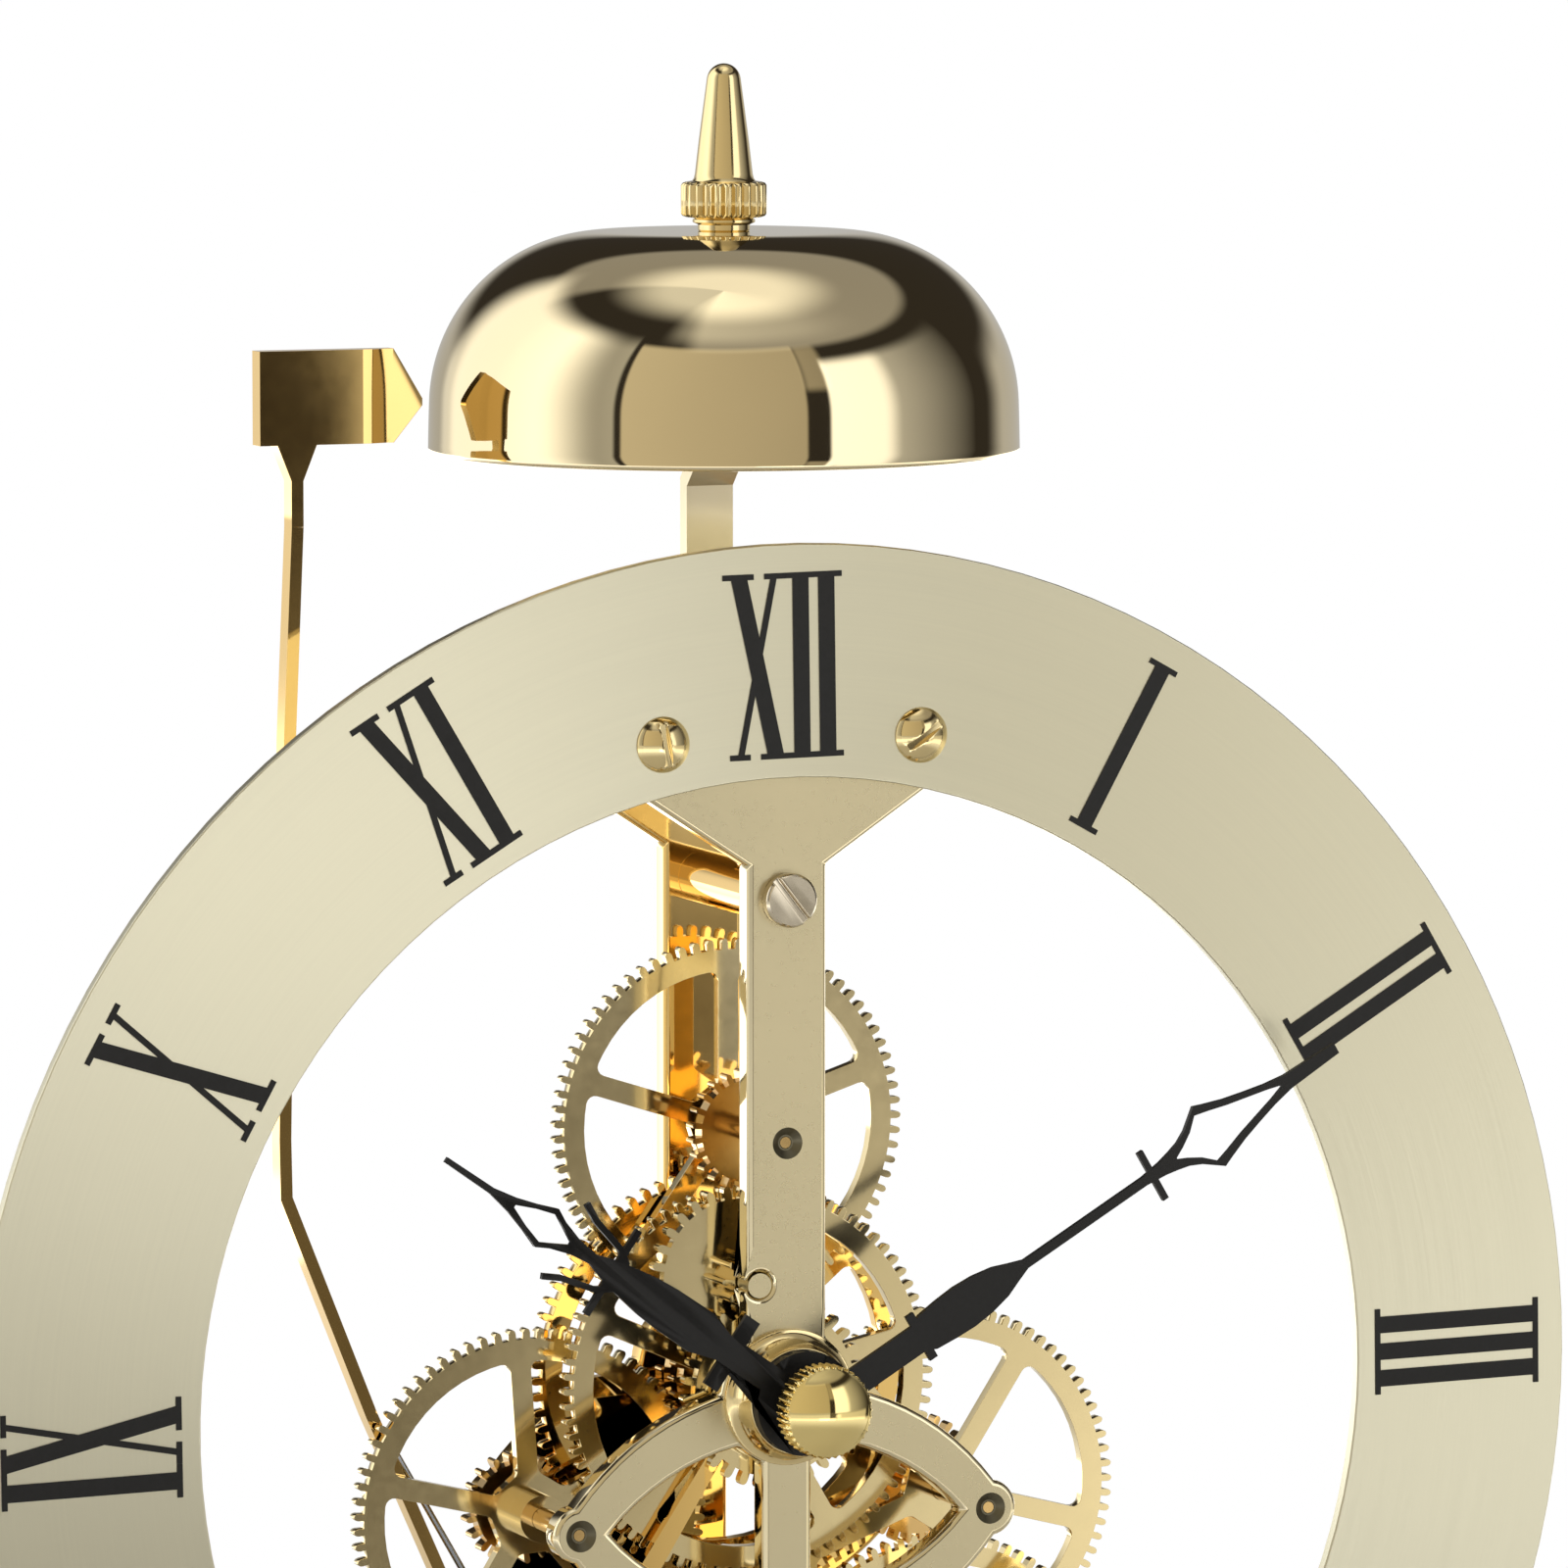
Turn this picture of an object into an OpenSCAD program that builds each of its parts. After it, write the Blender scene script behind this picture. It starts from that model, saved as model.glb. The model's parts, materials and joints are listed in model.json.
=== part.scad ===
// Open brass clock movement with a dial ring, a bell on top and a hammer at its side.
// Millimetres. +X is right and +Z is up as seen from the dial side, and +Y points away from the
// viewer. The origin is the middle of the four base bolts, on the surface the feet stand on,
// and y = 0 is halfway between the two plates.

/* [Dial] */
// Height of the hand axis above the surface
dial_height = 122; // [121:1:140]
// Outer radius of the dial ring
dial_r = 75; // [74:0.5:76]
// Inner radius of the dial ring
dial_bore_r = 54.6; // [54:0.1:55]
// Thickness of the dial ring
dial_t = 1.2; // [0.8:0.1:1.6]
// Radius at the outer end of the numerals
numeral_top_r = 72.5; // [71:0.1:73]
// Radius at the inner end of the numerals
numeral_foot_r = 56.3; // [56:0.1:58]
// Width of a thick numeral stroke
numeral_stroke = 1.5; // [1.2:0.1:1.7]
// Width of a thin numeral stroke
numeral_hairline = 0.56; // [0.4:0.02:0.8]
// Thickness of the numeral inlay
numeral_t = 0.1; // [0.05:0.05:0.2]
// Turn of the numerals back from the plates' upright, in degrees
numeral_turn = 0.8; // [0:0.1:1]
// Half distance between the two upper dial screws
dial_screw_x = 12.1; // [11:0.1:13]
// Height of the upper dial screws above the hand axis
dial_screw_z = 57.9; // [57.5:0.1:60]

/* [Plates] */
// Thickness of each plate
plate_t = 2.5; // [2:0.1:3]
// Clear space between the plates
plate_gap = 17.5; // [17.5:0.1:18]
// Width of the upper bar
bar_w = 7.4; // [6.5:0.1:8.5]
// Width of the lower bar
low_bar_w = 4.6; // [4:0.1:5.5]
// Height above the hand axis where the upper bar starts to flare
flare_z = 46.8; // [46.6:0.1:48]
// Rise of the flare for each millimetre outwards
flare_slope = 0.66; // [0.6:0.01:0.72]
// Half width of the plate head behind the dial ring
head_half_w = 17; // [16:0.5:19]
// Height of the top of the plate head above the hand axis
head_top_z = 66; // [65:0.5:70]
// Radius of the plates' eye outline
eye_r = 24.9; // [24.5:0.1:25.5]
// Radius of the opening inside the eye
eye_bore_r = 22.4; // [22:0.1:22.6]
// Width of the round band that carries the barrel and its neighbours
band_w = 6; // [5:0.2:6.6]
// Width of each leg
leg_w = 6.4; // [5:0.2:8]

/* [Pillars and screws] */
// Height of the top pillar above the hand axis
top_pillar_z = 43.8; // [43:0.1:44.2]
// Radius of a pillar
pillar_r = 2.4; // [2:0.1:2.5]
// Radius of a pillar screw's head
pillar_head_r = 2.4; // [2:0.1:2.8]
// Radius of a dial screw's head
dial_head_r = 2.45; // [2:0.05:2.8]
// Radius of the screws' threads
thread_r = 1.25; // [1:0.05:1.3]
// Length of the pillar screws' threads past the plates
thread_l = 4; // [3:0.5:6]

/* [Feet] */
// Half distance between the two feet
foot_x = 36; // [34:0.5:40]
// Width of a foot
foot_w = 14; // [13:0.5:18]
// Depth of a foot, front to back
foot_depth = 48; // [46:1:60]
// Thickness of a foot's sole
sole_t = 3; // [2:0.5:5]
// Height of a foot's block between the plates
foot_h = 14; // [13:0.5:18]
// Half distance between a foot's two bolt holes
base_bolt_y = 18; // [17:0.5:20]
// Radius of the base bolt holes, clearance for M4
base_bolt_r = 2.2; // [1.7:0.1:2.4]

/* [Wheels] */
// Module of the train's fine wheels
train_m = 0.43; // [0.43:0.001:0.432]
// Module of the great wheel and its pinion
great_m = 0.6; // [0.596:0.001:0.604]
// Thickness of a fine wheel
wheel_t = 1.1; // [0.8:0.05:1.15]
// Thickness of the great wheel
great_t = 1.6; // [1.2:0.1:1.6]
// Width of a wheel's rim inside its teeth
rim_w = 1.9; // [1.4:0.1:2.4]
// Width of a wheel's spokes
spoke_w = 1.9; // [1.4:0.1:2.4]
// Radius of a wheel's hub disc
hub_r = 3.6; // [3.2:0.1:3.9]
// Radius of the corners between spokes and rim
spoke_fillet = 0.8; // [0.4:0.1:1]
// Radius of an arbor
arbor_r = 1; // [0.8:0.05:1]
// Radius of a pivot
pivot_r = 0.5; // [0.4:0.05:0.6]
// Radius of an oil sink
sink_r = 1.4; // [1.2:0.1:1.6]
// Depth of an oil sink
sink_depth = 0.5; // [0.3:0.1:0.8]

/* [Barrel] */
// Outer radius of the spring drum
drum_r = 17.5; // [16.5:0.1:18]
// Wall of the spring drum
drum_wall = 1.2; // [0.8:0.1:1.4]
// Length of the spring drum behind the great wheel
drum_l = 10.9; // [10:0.1:11]
// Radius of the winding arbor
winding_r = 3; // [2.6:0.1:3.4]
// Side of the winding square
winding_square = 2.8; // [2.4:0.1:2.8]
// How far the winding square stands in front of the plate
winding_l = 6.2; // [5:0.1:6.4]
// Thickness of the mainspring strip
spring_t = 0.35; // [0.25:0.05:0.45]
// Radius of the ratchet wheel
ratchet_r = 8; // [7.6:0.1:8.4]

/* [Hands] */
// Direction of the minute hand, clockwise from twelve
minute_angle = 59.4; // [55:0.1:65]
// Direction of the hour hand, clockwise from twelve
hour_angle = 304.8; // [300:0.1:309]
// Thickness of a hand
hand_t = 0.5; // [0.4:0.05:0.7]
// Radius of the hour hand's collar
hour_collar_r = 4.6; // [4.2:0.1:5]
// Radius of the knurled hand nut
hand_nut_r = 4.1; // [3.8:0.1:4.4]
// Radius of the centre boss where it meets the plate
boss_r = 6; // [5.8:0.1:6.4]
// Radius of the centre boss at its front
boss_front_r = 4.7; // [4.6:0.1:5.2]
// Length of the centre boss in front of the plate
boss_l = 3.2; // [2.8:0.1:3.2]

/* [Bell and hammer] */
// Radius of the bell
bell_r = 26.1; // [25.6:0.1:26.3]
// Height of the bell's rim above the hand axis
bell_rim_z = 82; // [82:0.5:84]
// Height of the bell's straight skirt
bell_skirt = 5.2; // [4.2:0.1:6]
// Radius of the bell's rounded shoulder
bell_shoulder_r = 15.1; // [14:0.1:15.5]
// Wall of the bell
bell_wall = 1.2; // [0.9:0.1:1.6]
// Distance of the bell's axis behind the middle plane
bell_y = 3.75; // [3.5:0.05:4]
// Width of the bell post
post_w = 4.4; // [4.2:0.1:5]
// Thickness of the bell post
post_t = 1.6; // [1.4:0.1:1.8]
// Thickness of the hammer
hammer_t = 2; // [1.6:0.1:2]
// Width of the hammer's arm
hammer_arm_w = 1.1; // [0.9:0.1:1.3]
// Length of the hammer's head up to its taper
hammer_head_l = 12.5; // [11:0.5:14]
// Height of the hammer's head
hammer_head_h = 8.2; // [7:0.1:9]
// Gap between the hammer's tip and the bell at rest
hammer_gap = 2.3; // [2.1:0.1:2.8]

/* [Escapement and pendulum] */
// Radius over the escape wheel's teeth
escape_r = 7.7; // [7.6:0.1:7.8]
// Length from the pendulum's axis to the middle of its bob
pendulum_l = 70.5; // [68:0.5:71]
// Radius of the pendulum rod
rod_r = 0.8; // [0.7:0.05:0.9]
// Radius of the bob
bob_r = 12; // [10:0.5:12.5]
// Thickness of the bob
bob_t = 5.2; // [4.5:0.1:6]

/* [Fits] */
// Radial clearance of a turning shaft
run_fit = 0.05; // [0.03:0.01:0.08]
// Radial clearance of a part that is pressed or screwed on
seat_fit = 0.02; // [0.01:0.01:0.04]
// Play of an arbor's shoulders between the plates
end_play = 0.15; // [0.1:0.05:0.25]

/* [Hidden] */
$fn = 64;

// Tooth counts, which set the ratios of the train
GREAT_TEETH = 64;
FIRST_PINION = 16;
FIRST_TEETH = 78;
SECOND_PINION = 26;
FINE_TEETH = 75;
CENTRE_PINION = 29;
CENTRE_TEETH = 80;
THIRD_PINION = 24;
PIPE_TEETH = 76;
FOURTH_PINION = 20;
ESCAPE_PINION = 8;
ESCAPE_TEETH = 22;
CANNON_TEETH = 10;
MINUTE_TEETH = 30;
MINUTE_PINION = 8;
HOUR_TEETH = 32;
RATCHET_TEETH = 24;
SPOKES = 5;

// Tooth proportions in modules: addendum, dedendum and thickness
WHEEL_TOOTH = [0.95, 1.25, 1.46];
PINION_LEAF = [0.8, 1.3, 1.25];
SMALL_LEAF = [0.67, 1.35, 1.05];

// Half height and half width of an ogival tooth, as shares of its addendum and thickness
OGIVE = [[0, 1], [0.55, 0.84], [0.88, 0.5], [1, 0.14]];

// Depth layers, measured back from the front plate's inner face
HOUR_LAYER = 0.5;
MINUTE_LAYER = 2.6;
CAM_LAYER = 4.7;
CENTRE_LAYER = 6.5;
SECOND_LAYER = 8.5;
FOURTH_LAYER = 10;
THIRD_LAYER = 11.5;
PIPE_LAYER = 13.1;
FIRST_LAYER = 14.7;
GREAT_LAYER = 1.3;
HAMMER_LAYER = 11.5;
// How far a pinion's leaves reach past the wheel that meets them
leaf_reach = 0.2;

front_in = -plate_gap / 2;
front_out = front_in - plate_t;
rear_in = plate_gap / 2;
rear_out = rear_in + plate_t;

function polar(r, a) = [r * cos(a), r * sin(a)];
function side(hyp, leg) = sqrt(hyp * hyp - leg * leg);
function direction(p, q) = atan2(q[1] - p[1], q[0] - p[0]);

// Arbor places in the plane of the plates, measured from the hand axis
hub_at = [0, 0];
arbor_d = train_m * (FINE_TEETH + CENTRE_PINION) / 2;
upper_at = polar(arbor_d, 90);
left_at = polar(arbor_d, 210);
right_at = polar(arbor_d, -30);
first_at = right_at + polar(train_m * (FIRST_TEETH + SECOND_PINION) / 2, -85);
great_d = great_m * (GREAT_TEETH + FIRST_PINION) / 2;
barrel_at = [0, first_at[1] - side(great_d, first_at[0])];
escape_at = left_at + polar(train_m * (FINE_TEETH + ESCAPE_PINION) / 2, -40);
pallet_span = 360 * 5.5 / ESCAPE_TEETH;
anchor_d = escape_r / cos(pallet_span / 2);
anchor_at = [0, escape_at[1] - side(anchor_d, escape_at[0])];
hammer_at = barrel_at + polar(great_d, 148);
minute_post_at = [-2.61, 9.92];
low_pillar_a = 48;
low_pillar_at = barrel_at + polar(great_d, -low_pillar_a);
cock_foot_at = [barrel_at + polar(great_d, 62), barrel_at + polar(great_d, 133)];
click_d = 12.6;
click_at = barrel_at + [0, -click_d];
click_post_at = barrel_at + polar(great_d, -73);
band_in = great_d - band_w / 2;
band_out = great_d + band_w / 2;

pipe_m = 2 * arbor_d / (PIPE_TEETH + FOURTH_PINION);
motion_m = 2 * norm(minute_post_at) / (CANNON_TEETH + MINUTE_TEETH);

// Turned sizes of the hand centre, from the middle out
centre_front_r = arbor_r;
cannon_r = centre_front_r + 0.7;
hour_pipe_r = cannon_r + run_fit + 0.85;
boss_tenon_r = hour_pipe_r + run_fit + 0.9;
centre_rear_r = 1.2;
pipe_sleeve_r = 2.4;
centre_body_r = 1.6;

// Planes in front of the plate, as y
boss_front = front_out - boss_l;
hour_hand_y = boss_front - 0.75 - hand_t;
hour_collar_l = 1.2;
minute_hand_y = hour_hand_y - 2.8;
minute_collar_r = 2.6;
minute_collar_l = 1.6;
nut_gap = 0.05;
knurl_l = 2.6;
nut_dome_l = 1.4;

// Bell sizes that follow from the ones above
bell_top_z = bell_rim_z + bell_skirt + bell_shoulder_r;
bell_flat_r = bell_r - bell_shoulder_r;
bell_stud_r = 1.4;

// Pendulum plane and the parts behind the rear plate, as y
ratchet_y = rear_out + 0.2;
escape_y = rear_out + 1.8;
crutch_y = rear_out + 4.5;
cock_y = rear_out + 7;
cock_t = 2;
pendulum_y = cock_y + cock_t + 2.5;
hook_t = 1.2;
crutch_drop = 25.6;

// Draws its children round a point of the plates' plane
module at(p)
{
    translate([p[0], 0, dial_height + p[1]]) children();
}

// Stands flat outlines upright, facing the dial side, between y and y + t, and joins them
module slab(y, t)
{
    translate([0, y + t, 0]) rotate([90, 0, 0]) for (i = [0:$children - 1]) {
        linear_extrude(t) children(i);
    }
}

// A round rod along Y
module rod(y0, y1, r)
{
    translate([0, y1, 0]) rotate([90, 0, 0]) cylinder(h = y1 - y0, r = r);
}

module face_front(y)
{
    translate([0, y, 0]) rotate([90, 0, 0]) children();
}

module face_rear(y)
{
    translate([0, y, 0]) rotate([-90, 0, 0]) children();
}

// A straight bar of width w from p to q
module bar_2d(p, q, w)
{
    n = [p[1] - q[1], q[0] - p[0]] / norm(q - p) * w / 2;
    polygon([p + n, q + n, q - n, p - n]);
}

// Sideways step at point i of a line, long enough to mitre the corner there
function mitre(p, i) = let (
    n = len(p) - 1,
    a = p[min(i + 1, n)] - p[min(i, n - 1)],
    b = p[max(i, 1)] - p[max(i - 1, 0)],
    m = a / norm(a) + b / norm(b)
) [-m[1], m[0]] / (m * a / norm(a));

// A flat strip of width w with mitred corners through a list of points
module strip(y, t, points, w)
{
    last = len(points) - 1;
    slab(y, t) polygon(concat(
        [for (i = [0:last]) points[i] + mitre(points, i) * w / 2],
        [for (i = [last:-1:0]) points[i] - mitre(points, i) * w / 2]
    ));
}

// Outline of half widths [along, half] mirrored about the Y axis
function mirrored(profile) = concat(
    [for (p = profile) [p[1], p[0]]],
    [for (i = [len(profile) - 1:-1:0]) [-profile[i][1], profile[i][0]]]
);

// Outline of a gear with a tooth centred on angle 0
function gear_points(n, m, tooth) = let (
    rp = n * m / 2,
    half = tooth[2] / n * 180 / PI,
    rise = [for (o = OGIVE) [rp + o[0] * tooth[0] * m, o[1] * half]],
    root = rp - tooth[1] * m
) [for (i = [0:n - 1]) let (a = i * 360 / n) for (p = concat(
    [polar(root, a - half)],
    [for (q = rise) polar(q[0], a - q[1])],
    [for (k = [len(rise) - 1:-1:0]) polar(rise[k][0], a + rise[k][1])],
    [polar(root, a + half)]
)) p];

function arc(c, r, a0, a1, n) = [for (i = [0:n]) c + polar(r, a0 + (a1 - a0) * i / n)];

// One opening between two spokes, the first of them along angle 0
function window_points(rim, hub, w, f, s) = let (
    ah = asin((w / 2 + f) / (hub + f)),
    ar = asin((w / 2 + f) / (rim - f))
) concat(
    arc(polar(hub + f, ah), f, 180 + ah, 270, 3),
    arc(polar(rim - f, ar), f, -90, ar, 4),
    arc([0, 0], rim, ar + 4, s - ar - 4, 8),
    arc(polar(rim - f, s - ar), f, s - ar, s + 90, 4),
    arc(polar(hub + f, s - ah), f, s + 90, s - ah + 180, 3)
);

// A spoked wheel outline; hub is the radius of its hub disc and bore its hole
module wheel_2d(n, m, bore, hub, turn, spoke_turn)
{
    rim = n * m / 2 - WHEEL_TOOTH[1] * m - rim_w;
    difference() {
        rotate(turn) polygon(gear_points(n, m, WHEEL_TOOTH));
        circle(bore);
        for (i = [0:SPOKES - 1]) {
            rotate(spoke_turn + i * 360 / SPOKES)
                polygon(window_points(rim, hub, spoke_w, spoke_fillet, 360 / SPOKES));
        }
    }
}

module pinion(n, m, tooth, y0, y1, turn)
{
    slab(y0, y1 - y0) rotate(turn) polygon(gear_points(n, m, tooth));
}

// Turn of gear B that puts one of its gaps against A's teeth, with A at pa turned by ta
function mesh_turn(pa, pb, ta, na, nb) = let (
    phi = direction(pa, pb)
) phi + 180 + (phi - ta) * na / nb + 180 / nb;

// Rest turns of the wheels, and of the spokes where the photo shows them
second_spokes = 57;
third_spokes = 18;
fourth_spokes = 94;
pipe_spokes = 40;
centre_spokes = 12;
great_turn = 0;
first_turn = 0;
second_turn = 0;
third_turn = 0;
fourth_turn = 0;
centre_turn = 0;
pipe_turn = 0;
cannon_turn = 0;
minute_turn = mesh_turn(hub_at, minute_post_at, cannon_turn, CANNON_TEETH, MINUTE_TEETH);
minute_pinion_turn = 0;
hour_turn = mesh_turn(minute_post_at, hub_at, minute_pinion_turn, MINUTE_PINION, HOUR_TEETH);
first_pinion_turn = mesh_turn(barrel_at, first_at, great_turn, GREAT_TEETH, FIRST_PINION);
second_pinion_turn = mesh_turn(first_at, right_at, first_turn, FIRST_TEETH, SECOND_PINION);
centre_pinion_turn = mesh_turn(right_at, hub_at, second_turn, FINE_TEETH, CENTRE_PINION);
third_pinion_turn = mesh_turn(hub_at, upper_at, centre_turn, CENTRE_TEETH, THIRD_PINION);
pipe_pinion_turn = mesh_turn(upper_at, hub_at, third_turn, FINE_TEETH, CENTRE_PINION);
fourth_pinion_turn = mesh_turn(hub_at, left_at, pipe_turn, PIPE_TEETH, FOURTH_PINION);
escape_pinion_turn = mesh_turn(left_at, escape_at, fourth_turn, FINE_TEETH, ESCAPE_PINION);

// A screw whose outer side is +Z; its head starts at z = 0
module screw(head_r, head_h, r, l, dome)
{
    slot_w = head_r * 0.26;
    slot_d = head_h * 0.45;
    difference() {
        union() {
            intersection() {
                cylinder(h = head_h, r = head_r);
                if (dome > 0) {
                    translate([0, 0, head_h - dome]) sphere(r = dome);
                } else {
                    cylinder(h = head_h, r1 = head_r + head_h, r2 = head_r - 0.25);
                }
            }
            translate([0, 0, -l]) cylinder(h = l + head_h / 4, r = r);
        }
        translate([-head_r - 1, -slot_w / 2, head_h - slot_d])
            cube([2 * head_r + 2, slot_w, head_h]);
    }
}

// An arbor between the plates, with a pivot in each of them
module plate_arbor(r, pivot)
{
    rod(front_in + end_play, rear_in - end_play, r);
    rod(front_out + sink_depth, rear_out - sink_depth, pivot);
}

// Hole for a pivot, with an oil sink on the outer side
module pivot_hole(y_in, y_out, r)
{
    s = sign(y_out - y_in);
    rod(min(y_in, y_out) - 1, max(y_in, y_out) + 1, r + run_fit);
    translate([0, y_out - s * sink_depth, 0]) rotate([-90 * s, 0, 0])
        cylinder(h = 2 * sink_depth, r1 = sink_r * 0.5, r2 = sink_r * 1.5);
}

// The eye's lens: two arcs of radius r that cross at the sides, h is half its height
module lens_2d(r, h)
{
    intersection() {
        translate([0, left_at[1] + h - r]) circle(r);
        translate([0, left_at[1] - h + r]) circle(r);
    }
}

eye_h = 12.3;
eye_bore_h = 7.4;
eye_tip_r = 2.5;
barrel_boss_r = 5.5;
leg_top_at = barrel_at + polar(great_d, -52);
leg_foot_at = [foot_x - 2, sole_t + foot_h - dial_height - 4];

module plate_body(y)
{
    head_side_z = flare_z + (head_half_w - bar_w / 2) * flare_slope;
    difference() {
        union() {
            slab(y, plate_t) {
                polygon([
                    [-bar_w / 2, flare_z], [bar_w / 2, flare_z],
                    [head_half_w, head_side_z], [head_half_w, head_top_z - 4],
                    [head_half_w - 4, head_top_z], [4 - head_half_w, head_top_z],
                    [-head_half_w, head_top_z - 4], [-head_half_w, head_side_z],
                ]);
                bar_2d([0, 0], [0, flare_z + 0.5], bar_w);
                circle(boss_r + 0.2);
                lens_2d(eye_r, eye_h);
                translate(left_at) circle(eye_tip_r);
                translate(right_at) circle(eye_tip_r);
            }
        }
        slab(y - 1, plate_t + 2) difference() {
            lens_2d(eye_bore_r, eye_bore_h);
            circle(boss_r + 0.2);
        }
        translate([barrel_at[0], 0, barrel_at[1]]) rod(y - 1, y + plate_t + 1, band_in);
    }
    difference() {
        translate([barrel_at[0], 0, barrel_at[1]]) rod(y, y + plate_t, band_out);
        translate([barrel_at[0], 0, barrel_at[1]]) rod(y - 1, y + plate_t + 1, band_in);
    }
    slab(y, plate_t) {
        bar_2d([0, 0], barrel_at + [0, -great_d], low_bar_w);
        translate(barrel_at) circle(barrel_boss_r);
    }
    for (s = [-1, 1]) {
        slab(y, plate_t) {
            bar_2d([s * leg_top_at[0], leg_top_at[1]], [s * leg_foot_at[0], leg_foot_at[1]],
                leg_w);
            translate([s * foot_x - foot_w / 2, sole_t - dial_height])
                square([foot_w, foot_h - sole_t]);
        }
    }
}

module round_holes(points, r, y_in, y_out)
{
    for (p = points) {
        translate([p[0], 0, p[1]]) rod(min(y_in, y_out) - 1, max(y_in, y_out) + 1, r);
    }
}

module train_holes(y_in, y_out)
{
    for (p = [upper_at, left_at, right_at, first_at]) {
        translate([p[0], 0, p[1]]) pivot_hole(y_in, y_out, pivot_r);
    }
    translate([hammer_at[0], 0, hammer_at[1]]) pivot_hole(y_in, y_out, hammer_pivot_r);
    round_holes([barrel_at], winding_pivot_r + run_fit, y_in, y_out);
    round_holes([[0, top_pillar_z]], thread_r + seat_fit, y_in, y_out);
    round_holes([for (s = [-1, 1]) [s * low_pillar_at[0], low_pillar_at[1]]],
        thread_r + seat_fit, y_in, y_out);
    round_holes(foot_screw_places, thread_r + seat_fit, y_in, y_out);
}

winding_pivot_r = winding_square * 0.72;
hammer_pivot_r = 0.7;
foot_screw_z = (sole_t + foot_h) / 2;
foot_screw_places = [for (s = [-1, 1]) [s * foot_x, foot_screw_z - dial_height]];
post_screw_z = [55.5, 62];

module front_plate()
{
    color("#cdbb88") at(hub_at) difference() {
        plate_body(front_out);
        train_holes(front_in, front_out);
        translate([escape_at[0], 0, escape_at[1]]) pivot_hole(front_in, front_out, pivot_r);
        round_holes([hub_at], boss_tenon_r + seat_fit, front_in, front_out);
        round_holes([minute_post_at], post_pin_r + seat_fit, front_in, front_out);
        round_holes([for (s = [-1, 1]) [s * dial_screw_x, dial_screw_z]],
            thread_r + seat_fit, front_in, front_out);
    }
}

module rear_plate()
{
    color("#e0b040") at(hub_at) difference() {
        plate_body(rear_in);
        train_holes(rear_in, rear_out);
        round_holes([hub_at], centre_pivot_r + run_fit, rear_in, rear_out);
        round_holes([anchor_at], pivot_r + run_fit, rear_in, rear_out);
        round_holes([escape_at], arbor_r + 0.6, rear_in, rear_out);
        round_holes(cock_foot_at, thread_r + seat_fit, rear_in, rear_out);
        round_holes([click_at, click_post_at], thread_r + seat_fit, rear_in, rear_out);
        round_holes([for (z = post_screw_z) [0, z]], thread_r + seat_fit, rear_in, rear_out);
        round_holes([spring_post_at], spring_post_r + seat_fit, rear_in, rear_out);
    }
}

centre_pivot_r = 0.8;
post_pin_r = 1.1;
spring_post_r = 0.9;

module pillars()
{
    places = concat([[0, top_pillar_z]],
        [for (s = [-1, 1]) [s * low_pillar_at[0], low_pillar_at[1]]]);
    color("#c9a63a") at(hub_at) for (p = places) {
        translate([p[0], 0, p[1]]) difference() {
            rod(front_in, rear_in, pillar_r);
            rod(front_in - 1, front_in + thread_l + 1, thread_r + seat_fit);
            rod(rear_in - thread_l - 1, rear_in + 1, thread_r + seat_fit);
        }
    }
}

module pillar_screws()
{
    color("#d8c890") at(hub_at) {
        translate([0, 0, top_pillar_z]) {
            face_front(front_out) rotate(-52) screw(pillar_head_r, 1.2, thread_r,
                plate_t + thread_l, 0);
            face_rear(rear_out) screw(pillar_head_r, 1.2, thread_r, plate_t + thread_l, 0);
        }
        for (s = [-1, 1]) {
            translate([s * low_pillar_at[0], 0, low_pillar_at[1]])
                face_rear(rear_out) rotate(30) screw(pillar_head_r, 1.2, thread_r,
                    plate_t + thread_l, 0);
        }
    }
}

module feet()
{
    color("#c9a63a") for (s = [-1, 1]) {
        translate([s * foot_x, 0, 0]) difference() {
            union() {
                translate([-foot_w / 2, -foot_depth / 2, 0]) cube([foot_w, foot_depth, sole_t]);
                translate([-foot_w / 2, front_in, 0]) cube([foot_w, plate_gap, foot_h]);
            }
            for (y = [-base_bolt_y, base_bolt_y]) {
                translate([0, y, -1]) cylinder(h = sole_t + 2, r = base_bolt_r);
            }
            translate([0, 0, foot_screw_z]) rod(front_in - 1, rear_in + 1, thread_r + seat_fit);
        }
    }
}

module foot_screws()
{
    color("#d8c890") for (s = [-1, 1]) {
        translate([s * foot_x, 0, foot_screw_z]) {
            face_front(front_out) rotate(40 * s) screw(pillar_head_r, 1.2, thread_r,
                plate_t + thread_l, 0);
            face_rear(rear_out) rotate(25 * s) screw(pillar_head_r, 1.2, thread_r,
                plate_t + thread_l, 0);
        }
    }
}

dial_screw_places = [
    [-dial_screw_x, dial_screw_z], [dial_screw_x, dial_screw_z],
    [-low_pillar_at[0], low_pillar_at[1]], low_pillar_at,
];

module dial_ring()
{
    color("#d9cfa4") at(hub_at) difference() {
        rod(front_out - dial_t, front_out, dial_r);
        rod(front_out - dial_t - 1, front_out + 1, dial_bore_r);
        for (p = dial_screw_places) {
            translate([p[0], 0, p[1]])
                rod(front_out - dial_t - 1, front_out + 1, thread_r + seat_fit);
        }
    }
}

module dial_screws()
{
    turns = [100, 35, 20, 70];
    color("#d6b45a") at(hub_at) for (i = [0:3]) {
        translate([dial_screw_places[i][0], 0, dial_screw_places[i][1]])
            face_front(front_out - dial_t) rotate(turns[i])
                screw(dial_head_r, 1.3, thread_r,
                    dial_t + plate_t + (i < 2 ? -0.3 : thread_l), 3.1);
    }
}

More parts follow.
